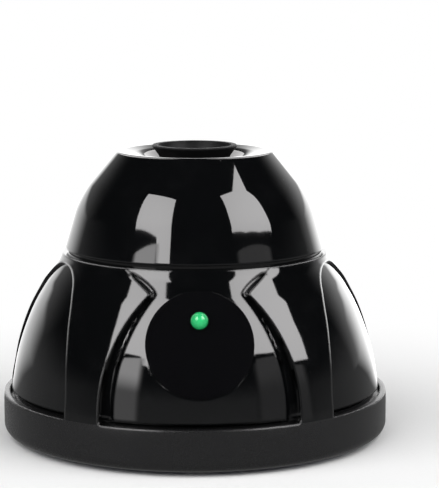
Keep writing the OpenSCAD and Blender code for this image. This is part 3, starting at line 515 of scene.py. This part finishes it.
def rubber(name, base, roughness=0.55, specular=0.5):
    _, tree, shader = new_material(name)
    skin = use_group(tree, "moulding", Grain_Scale=3800, Grain=1.4)
    dust = use_group(tree, "dust", Amount=0.9)["Mask"]
    marks = use_group(tree, "handling", Amount=0.8)
    tone = blend_colour(tree, marks["Smudge"], base, [c * 1.9 + 0.006 for c in base])
    wire_up(
        tree, shader, Base_Color=blend_colour(tree, dust, tone, (0.36, 0.35, 0.33)),
        Roughness=remap(tree, skin["Cloud"], 0.3, 0.7, roughness - 0.07, roughness + 0.07),
        Specular_IOR_Level=specular,
        Normal=rounded_bump(tree, skin["Height"], 0.03 * MM, 0.35 * MM, 0.7),
    )


def metal(name, base, roughness=0.28, pitch=6000, edge_r=0.12 * MM, tint=0.75):
    _, tree, shader = new_material(name)
    lines = use_group(tree, "machining", Pitch=pitch)
    marks = use_group(tree, "handling", Amount=0.7)
    tone = blend_colour(tree, remap(tree, lines["Tone"], 0.35, 0.7), base, [c * tint for c in base])
    wire_up(
        tree, shader, Base_Color=tone, Metallic=1.0,
        Roughness=remap(tree, marks["Smudge"], 0.0, 1.0, roughness, roughness + 0.18),
        Normal=rounded_bump(tree, lines["Height"], 0.006 * MM, edge_r, 0.5),
    )


def windings(name):
    """Enamelled copper wire laid in close rows."""
    _, tree, shader = new_material(name)
    coords = object_coords(tree)
    rows = put(tree, "ShaderNodeTexWave", {"bands_direction": "Z"}, Vector=coords, Scale=900)
    tone = blend_colour(tree, rows.outputs[1], (0.2, 0.055, 0.02), (0.62, 0.25, 0.1))
    wire_up(
        tree, shader, Base_Color=tone, Metallic=0.6,
        Roughness=remap(tree, rows.outputs[1], 0, 1, 0.45, 0.25),
        Normal=rounded_bump(tree, rows.outputs[1], 0.1 * MM, 0.1 * MM),
    )


def board_green(name):
    """Solder mask with copper tracks showing faintly through it."""
    _, tree, shader = new_material(name)
    coords = object_coords(tree)
    tracks = put(
        tree, "ShaderNodeTexBrick", Vector=coords, Scale=180, Mortar_Size=0.05,
        Color1=(0.01, 0.1, 0.03, 1), Color2=(0.012, 0.13, 0.04, 1), Mortar=(0.03, 0.26, 0.08, 1),
    )
    skin = use_group(tree, "moulding", Grain_Scale=4000, Grain=0.3)
    wire_up(
        tree, shader, Base_Color=tracks.outputs[0],
        Roughness=remap(tree, skin["Cloud"], 0.3, 0.7, 0.25, 0.4),
        Normal=rounded_bump(tree, tracks.outputs[1], 0.03 * MM, 0.1 * MM),
    )


def lamp_green(name, base, centre, lens_r):
    """Clear green lens lit from within, brightest in its middle."""
    _, tree, shader = new_material(name)
    glow = remap(tree, distance_to(tree, centre), lens_r * 0.1, lens_r * 1.05, 1.0, 0.0)
    skin = use_group(tree, "moulding", Grain_Scale=2000, Grain=0.1)
    wire_up(
        tree, shader, Base_Color=blend_colour(tree, glow, (0.02, 0.3, 0.1), base), Roughness=0.12,
        Emission_Color=blend_colour(tree, glow, (0.0, 0.12, 0.03), (0.1, 0.85, 0.3)),
        Emission_Strength=0.45,
        Normal=rounded_bump(tree, skin["Height"], 0.01 * MM, 0.1 * MM),
    )


# Pieces inside and behind: what makes each finish, its name, colour and roughness, and then the
# grain of a moulding or the line pitch of a metal.
INNER_FINISHES = (
    (satin_plastic, "socket_black", (0.014, 0.014, 0.015), 0.35),
    (metal, "nut_nickel", (0.62, 0.6, 0.56), 0.25),
    (metal, "screw_nickel", (0.66, 0.65, 0.62), 0.28),
    (metal, "shoulder_steel", (0.6, 0.6, 0.61), 0.2),
    (metal, "spring_steel", (0.5, 0.5, 0.52), 0.25, 9000),
    (metal, "plate_steel", (0.55, 0.56, 0.58), 0.34, 1500),
    (satin_plastic, "bushing_nylon", (0.72, 0.7, 0.62), 0.4),
    (metal, "can_steel", (0.6, 0.61, 0.62), 0.3, 2500),
    (satin_plastic, "cap_nylon", (0.78, 0.77, 0.72), 0.4),
    (satin_plastic, "magnet_ferrite", (0.03, 0.03, 0.032), 0.6, 1.5),
    (metal, "brush_copper", (0.7, 0.36, 0.18), 0.35),
    (metal, "terminal_brass", (0.72, 0.55, 0.24), 0.3),
    (metal, "shaft_steel", (0.68, 0.68, 0.7), 0.12),
    (metal, "core_steel", (0.34, 0.34, 0.35), 0.42, 12000),
    (windings, "winding_copper"),
    (metal, "hub_brass", (0.78, 0.58, 0.26), 0.22, 3000),
    (metal, "black_screw", (0.05, 0.05, 0.055), 0.35),
    (metal, "weight_steel", (0.48, 0.49, 0.5), 0.3, 3500),
    (metal, "bearing_chrome", (0.72, 0.72, 0.74), 0.08, 8000),
    (satin_plastic, "carrier_black", (0.02, 0.02, 0.021), 0.35),
    (satin_plastic, "switch_black", (0.018, 0.018, 0.02), 0.4),
    (satin_plastic, "plunger_red", (0.55, 0.03, 0.02), 0.3),
    (board_green, "board_green"),
    (satin_plastic, "component_dark", (0.03, 0.035, 0.06), 0.35),
)


class MIXER_OT_finishes(bpy.types.Operator):
    """Makes every finish, and puts them on the nodes of the assembly"""

    bl_idname = "mixer.finishes"
    bl_label = "Make Finishes"

    def execute(self, context):
        tones = context.scene.mixer_finishes
        housing = context.scene.mixer_housing
        for plain in list(bpy.data.materials):
            plain.name = PACKED + plain.name
        for make in (moulding_group, handling_group, dust_group, machining_group):
            make()
        low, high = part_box("lamp")
        lamp_tip = Vector(((low.x + high.x) / 2, low.y + 1.6 * MM, high.z - 2.2 * MM))
        shell, tray, soft = list(tones.shell), list(tones.tray), list(tones.rubber)
        gloss_plastic("housing_gloss", shell, 0.035, 1 * MM, satin=tray, satin_below=housing.rim_z)
        gloss_plastic("dome_gloss", shell, 0.03, 0.3 * MM)
        satin_plastic("base_grey", list(tones.underside), 0.5)
        rubber("foot_rubber", soft, 0.6)
        rubber("cup_rubber", soft, 0.5, 0.08)
        satin_plastic("badge_black", list(tones.badge), 0.12, 0.3, 0.2 * MM)
        lamp_green("lamp_green", list(tones.lamp), lamp_tip, 2.5 * MM)
        for make, name, *looks in INNER_FINISHES:
            make(name, *looks)
        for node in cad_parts.values():
            for slot in node.material_slots:
                slot.material = bpy.data.materials[slot.material.name.removeprefix(PACKED)]
        return {"FINISHED"}


# ---- lower housing ----

BAY_ANGLES = (72, 144, 216, 288)
CUT_DEPTH = 100 * MM  # from the axis outwards, past every outer face
CUT_STEPS = 160  # steps in a full turn of the wide round cuts
SEAT_Z = 55.9 * MM  # where the dome stands on the housing
GROOVE_FLOOR = 0.9 * MM  # rounding of the grooves' floor

# Sides of the openings in front: half the width at the foot, and the radius of the arc above it.
OPENING_SIDE = (28.9 * MM, 44.9 * MM)
SHIELD_SIDE = (24.8 * MM, 50 * MM)
GROOVE_MIDDLE = (26.85 * MM, 47.45 * MM)

# The badge's plane leans back, and the lamp is in its upper half.
BADGE_CENTRE = (0, -49.9 * MM, 36.8 * MM)
BADGE_LEAN = 20.5
BADGE_SEAT = ((0, -1.4 * MM, 0), (18 * MM, -1.4 * MM, 0), (17 * MM, 0.2 * MM, 0.9 * MM), (0, 0, 0))
POCKET_R, POCKET_DEPTH = 15.7 * MM, 0.6 * MM
LAMP_HOLE_R, LAMP_UP = 2.6 * MM, 6.9 * MM

# The power inlet's place in the back, its hole, and the flat face for its nut.
INLET_Z, INLET_HOLE_R = 23 * MM, 4 * MM
INLET_FACE_R, INLET_FACE_Y = 5.8 * MM, 55.6 * MM

PLATE_RECESS_R, PLATE_RECESS_Z = 56.2 * MM, 3.7 * MM
DOME_SEAT_R = 38.7 * MM
CAVITY = (
    (0, 0, 0),
    (54.5 * MM, 0, 0),
    (54.5 * MM, 10 * MM, 0),
    (52 * MM, 18 * MM, 0),
    (50.5 * MM, 33 * MM, 20 * MM),
    (41 * MM, 48 * MM, 20 * MM),
    (37 * MM, 53.5 * MM, 0),
    (30 * MM, 53.5 * MM, 0),
    (30 * MM, 60 * MM, 0),
    (0, 60 * MM, 0),
)


def lean(sizes, off):
    """Corners of the bell from knee to neck, offset outwards."""
    return [
        (sizes.knee_r + off, sizes.knee_z, 65 * MM),
        (sizes.shoulder_r + off, sizes.shoulder_z, 20 * MM),
        (sizes.neck_r - sizes.skin_step + 0.8 * MM + off, sizes.neck_z - 2.3 * MM, 6 * MM),
        (sizes.neck_r - sizes.skin_step + off, sizes.neck_z, 0),
    ]


def bell_body(sizes):
    """The housing's outer solid at the height of its columns."""
    corners = [
        (0, sizes.foot_gap, 0),
        (sizes.base_r, sizes.foot_gap, 3 * MM),
        (sizes.base_r, sizes.rim_z, 25 * MM),
        *lean(sizes, sizes.skin_step),
        (0, sizes.neck_z, 0),
    ]
    return to_object(turned(corners, sizes.steps), "bell_body")


def bell_keep(sizes, foot_off, off):
    """What a cut leaves standing, with the tray's rim and the shadow gap behind it."""
    rim_inner_r = sizes.base_r - sizes.rim_w
    bell_r = rim_inner_r - 0.5 * MM
    bell_z = sizes.rim_z + sizes.shadow_h
    gap_r, gap_floor_z, clear = bell_r - 1.5 * MM, 10 * MM, 5 * MM
    corners = [
        (0, -clear, 0),
        (sizes.base_r + clear, -clear, 0),
        (sizes.base_r + clear, sizes.rim_z, 0),
        (rim_inner_r, sizes.rim_z, 0),
        (rim_inner_r, gap_floor_z, 0),
        (gap_r, gap_floor_z, 0),
        (gap_r, bell_z, 0),
        (bell_r + foot_off, bell_z, 0),
        *lean(sizes, off),
        (sizes.neck_r - sizes.skin_step + off, sizes.neck_z + clear, 0),
        (0, sizes.neck_z + clear, 0),
    ]
    return to_object(turned(corners, sizes.steps), "bell_keep")


def cut_foot(sizes):
    """Height at which the outlines of the cuts start, inside the shadow gap."""
    return sizes.rim_z - 1.4 * MM


def arch_outline(sizes):
    """Half outline of an arch: a long side arc that runs into a round top."""
    side_r, top_r, join = 76.8 * MM, 19.5 * MM, math.radians(36.8)
    top_z = sizes.knee_z + 1.9 * MM
    reach = side_r - top_r
    centre = Vector((-reach * math.cos(join), 0, top_z - reach * math.sin(join)))
    start = math.asin((cut_foot(sizes) - centre.z) / side_r)
    bm = bmesh.new()
    vert = bm.verts.new(centre + side_r * Vector((math.cos(start), 0, math.sin(start))))
    vert = arc_on(bm, vert, centre, join - start, 20)
    arc_on(bm, vert, Vector((0, 0, top_z)), math.pi / 2 - join, 14)
    return bm


def gable(bm, sizes, half_w, side_r):
    """Side of an opening in front, upright below and an arc above; returns its two ends."""
    upright_z = sizes.rim_z + 2.7 * MM
    tip_z = sizes.neck_z - 6.5 * MM
    centre = Vector((half_w - side_r, 0, upright_z))
    low = bm.verts.new((half_w, 0, cut_foot(sizes)))
    foot = bm.verts.new((half_w, 0, upright_z))
    bm.edges.new((low, foot))
    return low, arc_on(bm, foot, centre, math.asin((tip_z - upright_z) / side_r), 24)


def branch_end(sizes):
    """Where the groove's branch runs out below the neck's top."""
    return Vector((sizes.neck_r - 21.3 * MM, 0, sizes.neck_z - 1.4 * MM))


def groove_outline(sizes):
    """Outline of the right groove: between opening and shield, then a branch along the neck."""
    bm = bmesh.new()
    outer_low, outer_tip = gable(bm, sizes, *OPENING_SIDE)
    inner_low, inner_tip = gable(bm, sizes, *SHIELD_SIDE)
    branch_r, end = 13 * MM, branch_end(sizes)
    half = (end - inner_tip.co).length / 2
    way = (end - inner_tip.co).normalized()
    bend = math.asin(half / branch_r)
    centre = (end + inner_tip.co) / 2 + branch_r * math.cos(bend) * Vector((way.z, 0, -way.x))
    upper_end = arc_on(bm, inner_tip, centre, -2 * bend, 8)
    lower_end = bm.verts.new(end + Vector((0.2 * MM, 0, -0.3 * MM)))
    for pair in ((outer_tip, lower_end), (lower_end, upper_end), (inner_low, outer_low)):
        bm.edges.new(pair)
    return bm


def shield_outline(sizes):
    """Half outline of the shield, from the middle of the groove up past the neck."""
    bm = bmesh.new()
    _, tip = gable(bm, sizes, *GROOVE_MIDDLE)
    above = sizes.neck_z + 3 * MM
    end = branch_end(sizes)
    carry_on(bm, tip, ((end.x, end.z), (end.x + 4.5 * MM, above), (0, above)))
    return bm


def on_badge(bm):
    """Moves a mesh into the badge's plane: x across, y up the badge, z out of it."""
    lean_back = Matrix.Rotation(math.radians(90 - BADGE_LEAN), 4, "X")
    bmesh.ops.transform(bm, matrix=Matrix.Translation(BADGE_CENTRE) @ lean_back, verts=bm.verts[:])
    return bm


def sink(body, bm, sizes, foot_off, off, rounding=0.0):
    """Cuts a prism out of the body as deep as the bell that is to be left standing."""
    cutter = to_object(bm, "cutter")
    combine(cutter, bell_keep(sizes, foot_off, off), "DIFFERENCE")
    if rounding:
        round_edges(cutter, rounding)
    combine(body, cutter, "DIFFERENCE")


def inner_cuts():
    """Cuts for the badge, the lamp, the inside, the bottom plate, the dome and the inlet."""
    outside = 65 * MM
    return [
        on_badge(tube(POCKET_R, (0, 0, -POCKET_DEPTH), (0, 0, 8 * MM), CUT_STEPS)),
        on_badge(tube(LAMP_HOLE_R, (0, LAMP_UP, -6 * MM), (0, LAMP_UP, 2 * MM))),
        turned(CAVITY, 128),
        tube(PLATE_RECESS_R, (0, 0, 0), (0, 0, PLATE_RECESS_Z), CUT_STEPS),
        tube(DOME_SEAT_R, (0, 0, SEAT_Z), (0, 0, 60 * MM), CUT_STEPS),
        tube(INLET_FACE_R, (0, INLET_FACE_Y, INLET_Z), (0, outside, INLET_Z)),
        tube(INLET_HOLE_R, (0, 40 * MM, INLET_Z), (0, outside, INLET_Z)),
    ]


class MIXER_OT_housing(bpy.types.Operator):
    """Builds the bell with its arched bays, grooves, shield and badge seat"""

    bl_idname = "mixer.housing"
    bl_label = "Build Lower Housing"

    def execute(self, context):
        sizes = context.scene.mixer_housing
        body = bell_body(sizes)
        seat = on_badge(turned(BADGE_SEAT, CUT_STEPS))
        combine(body, to_object(seat, "seat"), "UNION")
        arch = prism_from_half(arch_outline(sizes), CUT_DEPTH)
        for angle in BAY_ANGLES:
            sink(body, rotated(arch, angle), sizes, 0, 0)
        groove = prism(groove_outline(sizes), CUT_DEPTH)
        for side in (groove.copy(), mirrored(groove)):
            sink(body, side, sizes, -1.6 * MM, sizes.skin_step - sizes.groove_depth, GROOVE_FLOOR)
        shield = prism_from_half(shield_outline(sizes), CUT_DEPTH)
        sink(body, shield, sizes, 0.2 * MM, sizes.skin_step - sizes.shield_drop)
        for bm in inner_cuts():
            combine(body, to_object(bm, "cut"), "DIFFERENCE")
        body.name = "housing_shell"
        smooth(body, SHARP_ANGLE)
        finish_piece(body, "housing_gloss", "housing", ["lower_housing"])
        return {"FINISHED"}


# ---- upper dome ----

LIP_Z = 57.6 * MM
SPIGOT_R, WALL_INNER_R = 38.5 * MM, 36.2 * MM
WALL_DEPTH, WALL_W = 5.6 * MM, 2.2 * MM  # of the wall round the cup's hole


class MIXER_OT_dome(bpy.types.Operator):
    """Builds the upper dome with its lip, shoulder, rim and dish"""

    bl_idname = "mixer.dome"
    bl_label = "Build Upper Dome"

    def execute(self, context):
        sizes = context.scene.mixer_dome
        dish_z = sizes.top_z - sizes.dish_depth
        wall_low_z = dish_z - WALL_DEPTH
        wall_r = sizes.hole_r + WALL_W
        low_z = LIP_Z + 2.6 * MM
        flare = (sizes.low_r - sizes.shoulder_r) / (sizes.shoulder_z - low_z)
        corners = [
            (WALL_INNER_R, SEAT_Z, 0),
            (SPIGOT_R, SEAT_Z, 0),
            (SPIGOT_R, LIP_Z, 0),
            (sizes.low_r + flare * (low_z - LIP_Z), LIP_Z, 0.6 * MM),
            (sizes.shoulder_r, sizes.shoulder_z, 27 * MM),
            (sizes.rim_r, sizes.top_z, 1.2 * MM),
            (sizes.rim_r - 1.8 * MM, sizes.top_z, 2 * MM),
            (sizes.hole_r + 3 * MM, sizes.top_z - 0.9 * MM, 6 * MM),
            (sizes.hole_r, dish_z, 0.3 * MM),
            (sizes.hole_r, wall_low_z, 0.3 * MM),
            (wall_r, wall_low_z, 0.3 * MM),
            (wall_r, dish_z - 0.8 * MM, 0),
            (sizes.hole_r + 4 * MM, sizes.top_z - 3.3 * MM, 3 * MM),
            (sizes.rim_r - 1 * MM, sizes.top_z - 2.4 * MM, 1 * MM),
            (sizes.shoulder_r - 2.7 * MM, sizes.shoulder_z - 0.8 * MM, 25 * MM),
            (WALL_INNER_R, 60.6 * MM, 0),
            (WALL_INNER_R, SEAT_Z, 0),
        ]
        dome = to_object(turned(corners, 288), "dome_shell")
        smooth(dome, SHARP_ANGLE)
        finish_piece(dome, "dome_gloss", "housing", ["upper_dome"])
        return {"FINISHED"}


# ---- rubber cup ----


class MIXER_OT_cup(bpy.types.Operator):
    """Builds the rubber cup with its flared lip and round hollow"""

    bl_idname = "mixer.cup"
    bl_label = "Build Rubber Cup"

    def execute(self, context):
        sizes = context.scene.mixer_cup
        low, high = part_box("rubber_cup")
        lip_z = high.z
        floor_z = lip_z - sizes.depth
        bore_r, bore_z = 8.6 * MM, floor_z - 2 * MM
        hollow_r = (sizes.mouth_r**2 + sizes.depth**2) / (2 * sizes.depth)
        corners = [
            (bore_r, low.z, 0),
            (sizes.neck_r - 0.2 * MM, low.z, 0.3 * MM),
            (sizes.neck_r, floor_z + 2 * MM, 5 * MM),
            (sizes.lip_r - 2.2 * MM, lip_z - 3.5 * MM, 3 * MM),
            (sizes.lip_r, lip_z - 0.5 * MM, 0.3 * MM),
            (sizes.lip_r - 0.1 * MM, lip_z, 0.3 * MM),
            (sizes.mouth_r, lip_z, 0),
        ]
        bm = profile(corners)
        centre = Vector((0, 0, floor_z + hollow_r))
        sweep = math.acos((centre.z - lip_z) / hollow_r)
        bottom = arc_on(bm, nearest(bm, sizes.mouth_r, lip_z), centre, -sweep, 24)
        bottom.co.x = 0
        last = carry_on(bm, bottom, ((0, bore_z), (bore_r, bore_z)))
        bm.edges.new((last, nearest(bm, bore_r, low.z)))
        turn(bm, 128)
        bmesh.ops.translate(bm, vec=(0, sizes.orbit, 0), verts=bm.verts[:])
        cup = to_object(bm, "cup_soft")
        smooth(cup, 35)
        finish_piece(cup, "cup_rubber", "cup", ["rubber_cup"])
        return {"FINISHED"}


# ---- springs ----


class MIXER_OT_springs(bpy.types.Operator):
    """Gives the coil springs a copy of their mesh, apart from the imported one"""

    bl_idname = "mixer.springs"
    bl_label = "Tie Springs"

    def execute(self, context):
        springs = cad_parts["press_springs"]
        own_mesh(springs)
        return {"FINISHED"}


# ---- studio ----

# Directions are (azimuth, elevation) in degrees: 0 is in front, 90 to the right, -90 to the left.
LAMP_DIRECTIONS = {"lamp_left": (-48, 42), "lamp_right": (58, 42)}
LAMP_ANGLES = (60, 50)  # width and height of a lamp as the object sees it
LAMP_AIM = Vector((0, 0, 40 * MM))
SOFTBOXES = {
    "softbox_left": (
        (-75, 56.3), (-29.5, 58.4), (-24, 21.5), (-36, 22), (-38, 25.1), (-60.3, 23.3),
    ),
    "softbox_right": (
        (40, 61.8), (87, 59.2), (75.5, 19.9), (62, 22.2), (48, 24.2), (34.3, 25.7),
    ),
}
# Softer light below each softbox: corners, then the radiance above and the radiance below.
SPILLS = {
    "spill_left": (((-61, 20.3), (-33, 24.9), (-33, 0), (-61, 0)), 5.0, 1.2),
    "spill_right": (((34, 23.4), (74, 18.5), (74, 0), (34, 0)), 0.6, 0.35),
}
SPILL_HEIGHTS = (8, 18)  # elevations between which a spill fades
SPILL_ENDS = math.radians(6)  # over which it fades at its sides
RIM_LIGHT = ((112, 66), (168, 66), (161, 20), (138, 35), (118, 49))
RIM_SHARE = 0.45  # of a softbox's radiance
CLOTH_WHITE = (1, 0.985, 0.99, 1)
SOFT_GREY = 0.25  # of the world in soft light, and the least that the floor shows in mirrors
FLOOR_FADE = (0.07, 0.2)  # metres from the object over which the floor turns to plain white
CAMERA_PLACE = (-16.2 * MM, -617.9 * MM, 151.5 * MM)
CAMERA_DOWN, CAMERA_TURN = 8.58, -2.2


def direction(azimuth, elevation):
    """Unit vector towards a direction in degrees."""
    a, e = math.radians(azimuth), math.radians(elevation)
    return Vector((math.sin(a) * math.cos(e), -math.cos(a) * math.cos(e), math.sin(e)))


def area_lamp(name, way, distance, radiance):
    """Rectangular lamp that lights the object from a direction, and that mirrors don't show."""
    light = bpy.data.lights.new(name, "AREA")
    light.shape = "RECTANGLE"
    light.size, light.size_y = (2 * distance * math.tan(math.radians(a / 2)) for a in LAMP_ANGLES)
    light.energy = radiance * math.pi * light.size * light.size_y
    lamp = bpy.data.objects.new(name, light)
    bpy.context.scene.collection.objects.link(lamp)
    lamp.location = way * distance + LAMP_AIM
    lamp.rotation_euler = way.to_track_quat("Z", "Y").to_euler()
    lamp.visible_camera = lamp.visible_glossy = False


def end_with(tree, node):
    tree.links.new(node.outputs[0], tree.nodes["Material Output"].inputs[0])


def mirror_face(name, corners, distance):
    """Flat face between directions that only reflections show; returns it and its shader tree."""
    bm = bmesh.new()
    for corner in corners:
        bm.verts.new(distance * direction(*corner))
    bmesh.ops.contextual_create(bm, geom=bm.verts[:])
    face = to_object(bm, name)
    material, tree, shader = new_material(name + "_cloth")
    tree.nodes.remove(shader)
    face.data.materials.append(material)
    face.visible_camera = face.visible_diffuse = face.visible_shadow = False
    return face, tree


def softbox(name, corners, distance, radiance):
    """Glowing face between directions, brighter in its middle."""
    face, tree = mirror_face(name, corners, distance)
    middle = sum((vert.co for vert in face.data.vertices), Vector()) / len(corners)
    away = distance_to(tree, middle)
    strength = remap(tree, away, 0.0, 0.9 * distance, radiance * 1.08, radiance * 0.82)
    end_with(tree, put(tree, "ShaderNodeEmission", Color=CLOTH_WHITE, Strength=strength))


def spill(name, corners, upper, lower, distance):
    """Face below a softbox that fades towards the floor and towards its sides."""
    _, tree = mirror_face(name, corners, distance)
    x, y, z = put(tree, "ShaderNodeSeparateXYZ", Vector=object_coords(tree)).outputs
    along = math_node(tree, "ARCTAN2", x, times(tree, y, -1.0))
    start, end = math.radians(corners[0][0]), math.radians(corners[1][0])
    fade_in = remap(tree, along, start, start + SPILL_ENDS)
    ends = times(tree, fade_in, remap(tree, along, end - SPILL_ENDS, end, 1.0, 0.0))
    low, high = (distance * math.sin(math.radians(height)) for height in SPILL_HEIGHTS)
    strength = times(tree, ends, remap(tree, z, low, high, lower, upper))
    clear = tree.nodes.new("ShaderNodeBsdfTransparent").outputs[0]
    glow = put(tree, "ShaderNodeEmission", Color=CLOTH_WHITE, Strength=strength).outputs[0]
    end_with(tree, put(tree, "ShaderNodeMixShader", i0=ends, i1=clear, i2=glow))


def surround(tree, x, y):
    """Radiance round the horizon: bright behind the object and more so to the right."""
    return times(tree, remap(tree, y, 0.5, 0.85), remap(tree, x, -0.5, 0.5, 1.6, 3.2))


def ray_kinds(tree):
    """Masks of the rays from the camera or through glass, and of the rays off a gloss."""
    rays = tree.nodes.new("ShaderNodeLightPath").outputs
    return larger(tree, rays["Is Camera Ray"], rays["Is Transmission Ray"]), rays["Is Glossy Ray"]


def build_world():
    """Plain white to the camera, a lit room to mirrors, and a plain grey for soft light."""
    world = bpy.data.worlds.new("studio")
    bpy.context.scene.world = world
    world.use_nodes = True
    tree = world.node_tree
    tree.nodes.clear()
    way = tree.nodes.new("ShaderNodeTexCoord").outputs["Generated"]
    x, y, z = put(tree, "ShaderNodeSeparateXYZ", Vector=way).outputs
    backdrop = times(tree, remap(tree, z, 0.12, 0.22, 1.0, 0.0), surround(tree, x, y))
    glow = times(tree, remap(tree, y, 0.3, 0.8), remap(tree, z, 0.2, 0.7, 1.0, 0.0))
    glow = times(tree, glow, remap(tree, x, -0.4, 0.4, 0.3, 1.0))
    behind = times(tree, remap(tree, y, 0.85, 0.97), remap(tree, z, 0.2, 0.6, 2.2, 0.0))
    room = remap(tree, z, 0.0, 0.3, SOFT_GREY, 0.008)
    mirrors = larger(tree, larger(tree, backdrop, larger(tree, glow, behind)), room)
    view, glossy = ray_kinds(tree)
    sharp = blend_colour(tree, view, mirrors, (1, 1, 1))
    tone = blend_colour(tree, larger(tree, view, glossy), (SOFT_GREY,) * 3, sharp)
    background = put(tree, "ShaderNodeBackground", Color=tone, Strength=1.0)
    tree.links.new(background.outputs[0], tree.nodes.new("ShaderNodeOutputWorld").inputs[0])


def build_floor(size):
    """Matt paper near the object, which turns to plain white further off."""
    bm = bmesh.new()
    bmesh.ops.create_grid(bm, x_segments=2, y_segments=2, size=size / 2)
    floor = to_object(bm, "studio_floor")
    material, tree, shader = new_material("floor_paper")
    coords = object_coords(tree)
    paper = put(tree, "ShaderNodeTexNoise", Vector=coords, Scale=900, Detail=2).outputs[0]
    wire_up(
        tree, shader, Base_Color=blend_colour(tree, paper, (0.8,) * 3, (0.84,) * 3),
        Roughness=0.9, Specular_IOR_Level=0.1,
    )
    far = remap(tree, distance_to(tree, (0, 0, 0)), *FLOOR_FADE)
    way = put(tree, "ShaderNodeVectorMath", {"operation": "NORMALIZE"}, i0=coords).outputs[0]
    x, y, _ = put(tree, "ShaderNodeSeparateXYZ", Vector=way).outputs
    mirrors = larger(tree, surround(tree, x, y), SOFT_GREY)
    view, glossy = ray_kinds(tree)
    strength = put(tree, "ShaderNodeMix", {"data_type": "FLOAT"}, i0=glossy, i2=1.0, i3=mirrors)
    glow = put(tree, "ShaderNodeEmission", Color=(1, 1, 1, 1), Strength=strength.outputs[0])
    share = larger(tree, glossy, times(tree, far, view))
    paper_light, glow_light = shader.outputs[0], glow.outputs[0]
    end_with(tree, put(tree, "ShaderNodeMixShader", i0=share, i1=paper_light, i2=glow_light))
    floor.data.materials.append(material)


def add_camera(scene, lens):
    """Camera at the place from which the photograph was taken."""
    data = bpy.data.cameras.new("camera")
    data.lens = lens
    data.sensor_width = 36
    data.clip_start, data.clip_end = 0.05, 60
    camera = bpy.data.objects.new("camera", data)
    camera.location = CAMERA_PLACE
    camera.rotation_euler = (math.radians(90 - CAMERA_DOWN), 0, math.radians(CAMERA_TURN))
    scene.collection.objects.link(camera)
    scene.camera = camera


class MIXER_OT_stage(bpy.types.Operator):
    """Builds the world, the floor, the lamps, the faces that mirrors show and the camera"""

    bl_idname = "mixer.stage"
    bl_label = "Build Stage"

    def execute(self, context):
        scene = context.scene
        sizes = scene.mixer_studio
        build_world()
        build_floor(sizes.floor_size)
        distance, radiance = sizes.softbox_distance, sizes.softbox_strength
        for name, angles in LAMP_DIRECTIONS.items():
            area_lamp(name, direction(*angles), distance, sizes.lamp_strength)
        for name, corners in SOFTBOXES.items():
            softbox(name, corners, distance, radiance)
        for name, (corners, upper, lower) in SPILLS.items():
            spill(name, corners, upper, lower, distance)
        for side, name in ((1, "rim_light_right"), (-1, "rim_light_left")):
            corners = [(side * azimuth, elevation) for azimuth, elevation in RIM_LIGHT]
            softbox(name, corners, distance, RIM_SHARE * radiance)
        add_camera(scene, sizes.lens)
        scene.view_settings.view_transform = "Standard"
        return {"FINISHED"}


class MIXER_PT_panel(bpy.types.Panel):
    """Lists the steps that build the mixer"""

    bl_idname = "MIXER_PT_panel"
    bl_label = "Vortex Mixer"
    bl_space_type = "VIEW_3D"
    bl_region_type = "UI"
    bl_category = "Vortex Mixer"

    def draw(self, context):
        for operator in OPERATORS:
            self.layout.operator(operator.bl_idname)


GROUPS = {
    "mixer_housing": HousingSizes,
    "mixer_dome": DomeSizes,
    "mixer_cup": CupSizes,
    "mixer_finishes": Finishes,
    "mixer_studio": StudioSizes,
}
OPERATORS = (
    MIXER_OT_finishes, MIXER_OT_housing, MIXER_OT_dome,
    MIXER_OT_cup, MIXER_OT_springs, MIXER_OT_stage,
)


def register():
    for name, group in GROUPS.items():
        bpy.utils.register_class(group)
        setattr(bpy.types.Scene, name, PointerProperty(type=group))
    for cls in (*OPERATORS, MIXER_PT_panel):
        bpy.utils.register_class(cls)


def unregister():
    for cls in (MIXER_PT_panel, *reversed(OPERATORS)):
        bpy.utils.unregister_class(cls)
    for name, group in GROUPS.items():
        delattr(bpy.types.Scene, name)
        bpy.utils.unregister_class(group)


def main():
    register()
    bpy.ops.mixer.finishes()
    bpy.ops.mixer.housing()
    bpy.ops.mixer.dome()
    bpy.ops.mixer.cup()
    bpy.ops.mixer.springs()
    bpy.ops.mixer.stage()


if __name__ == "__main__":
    main()
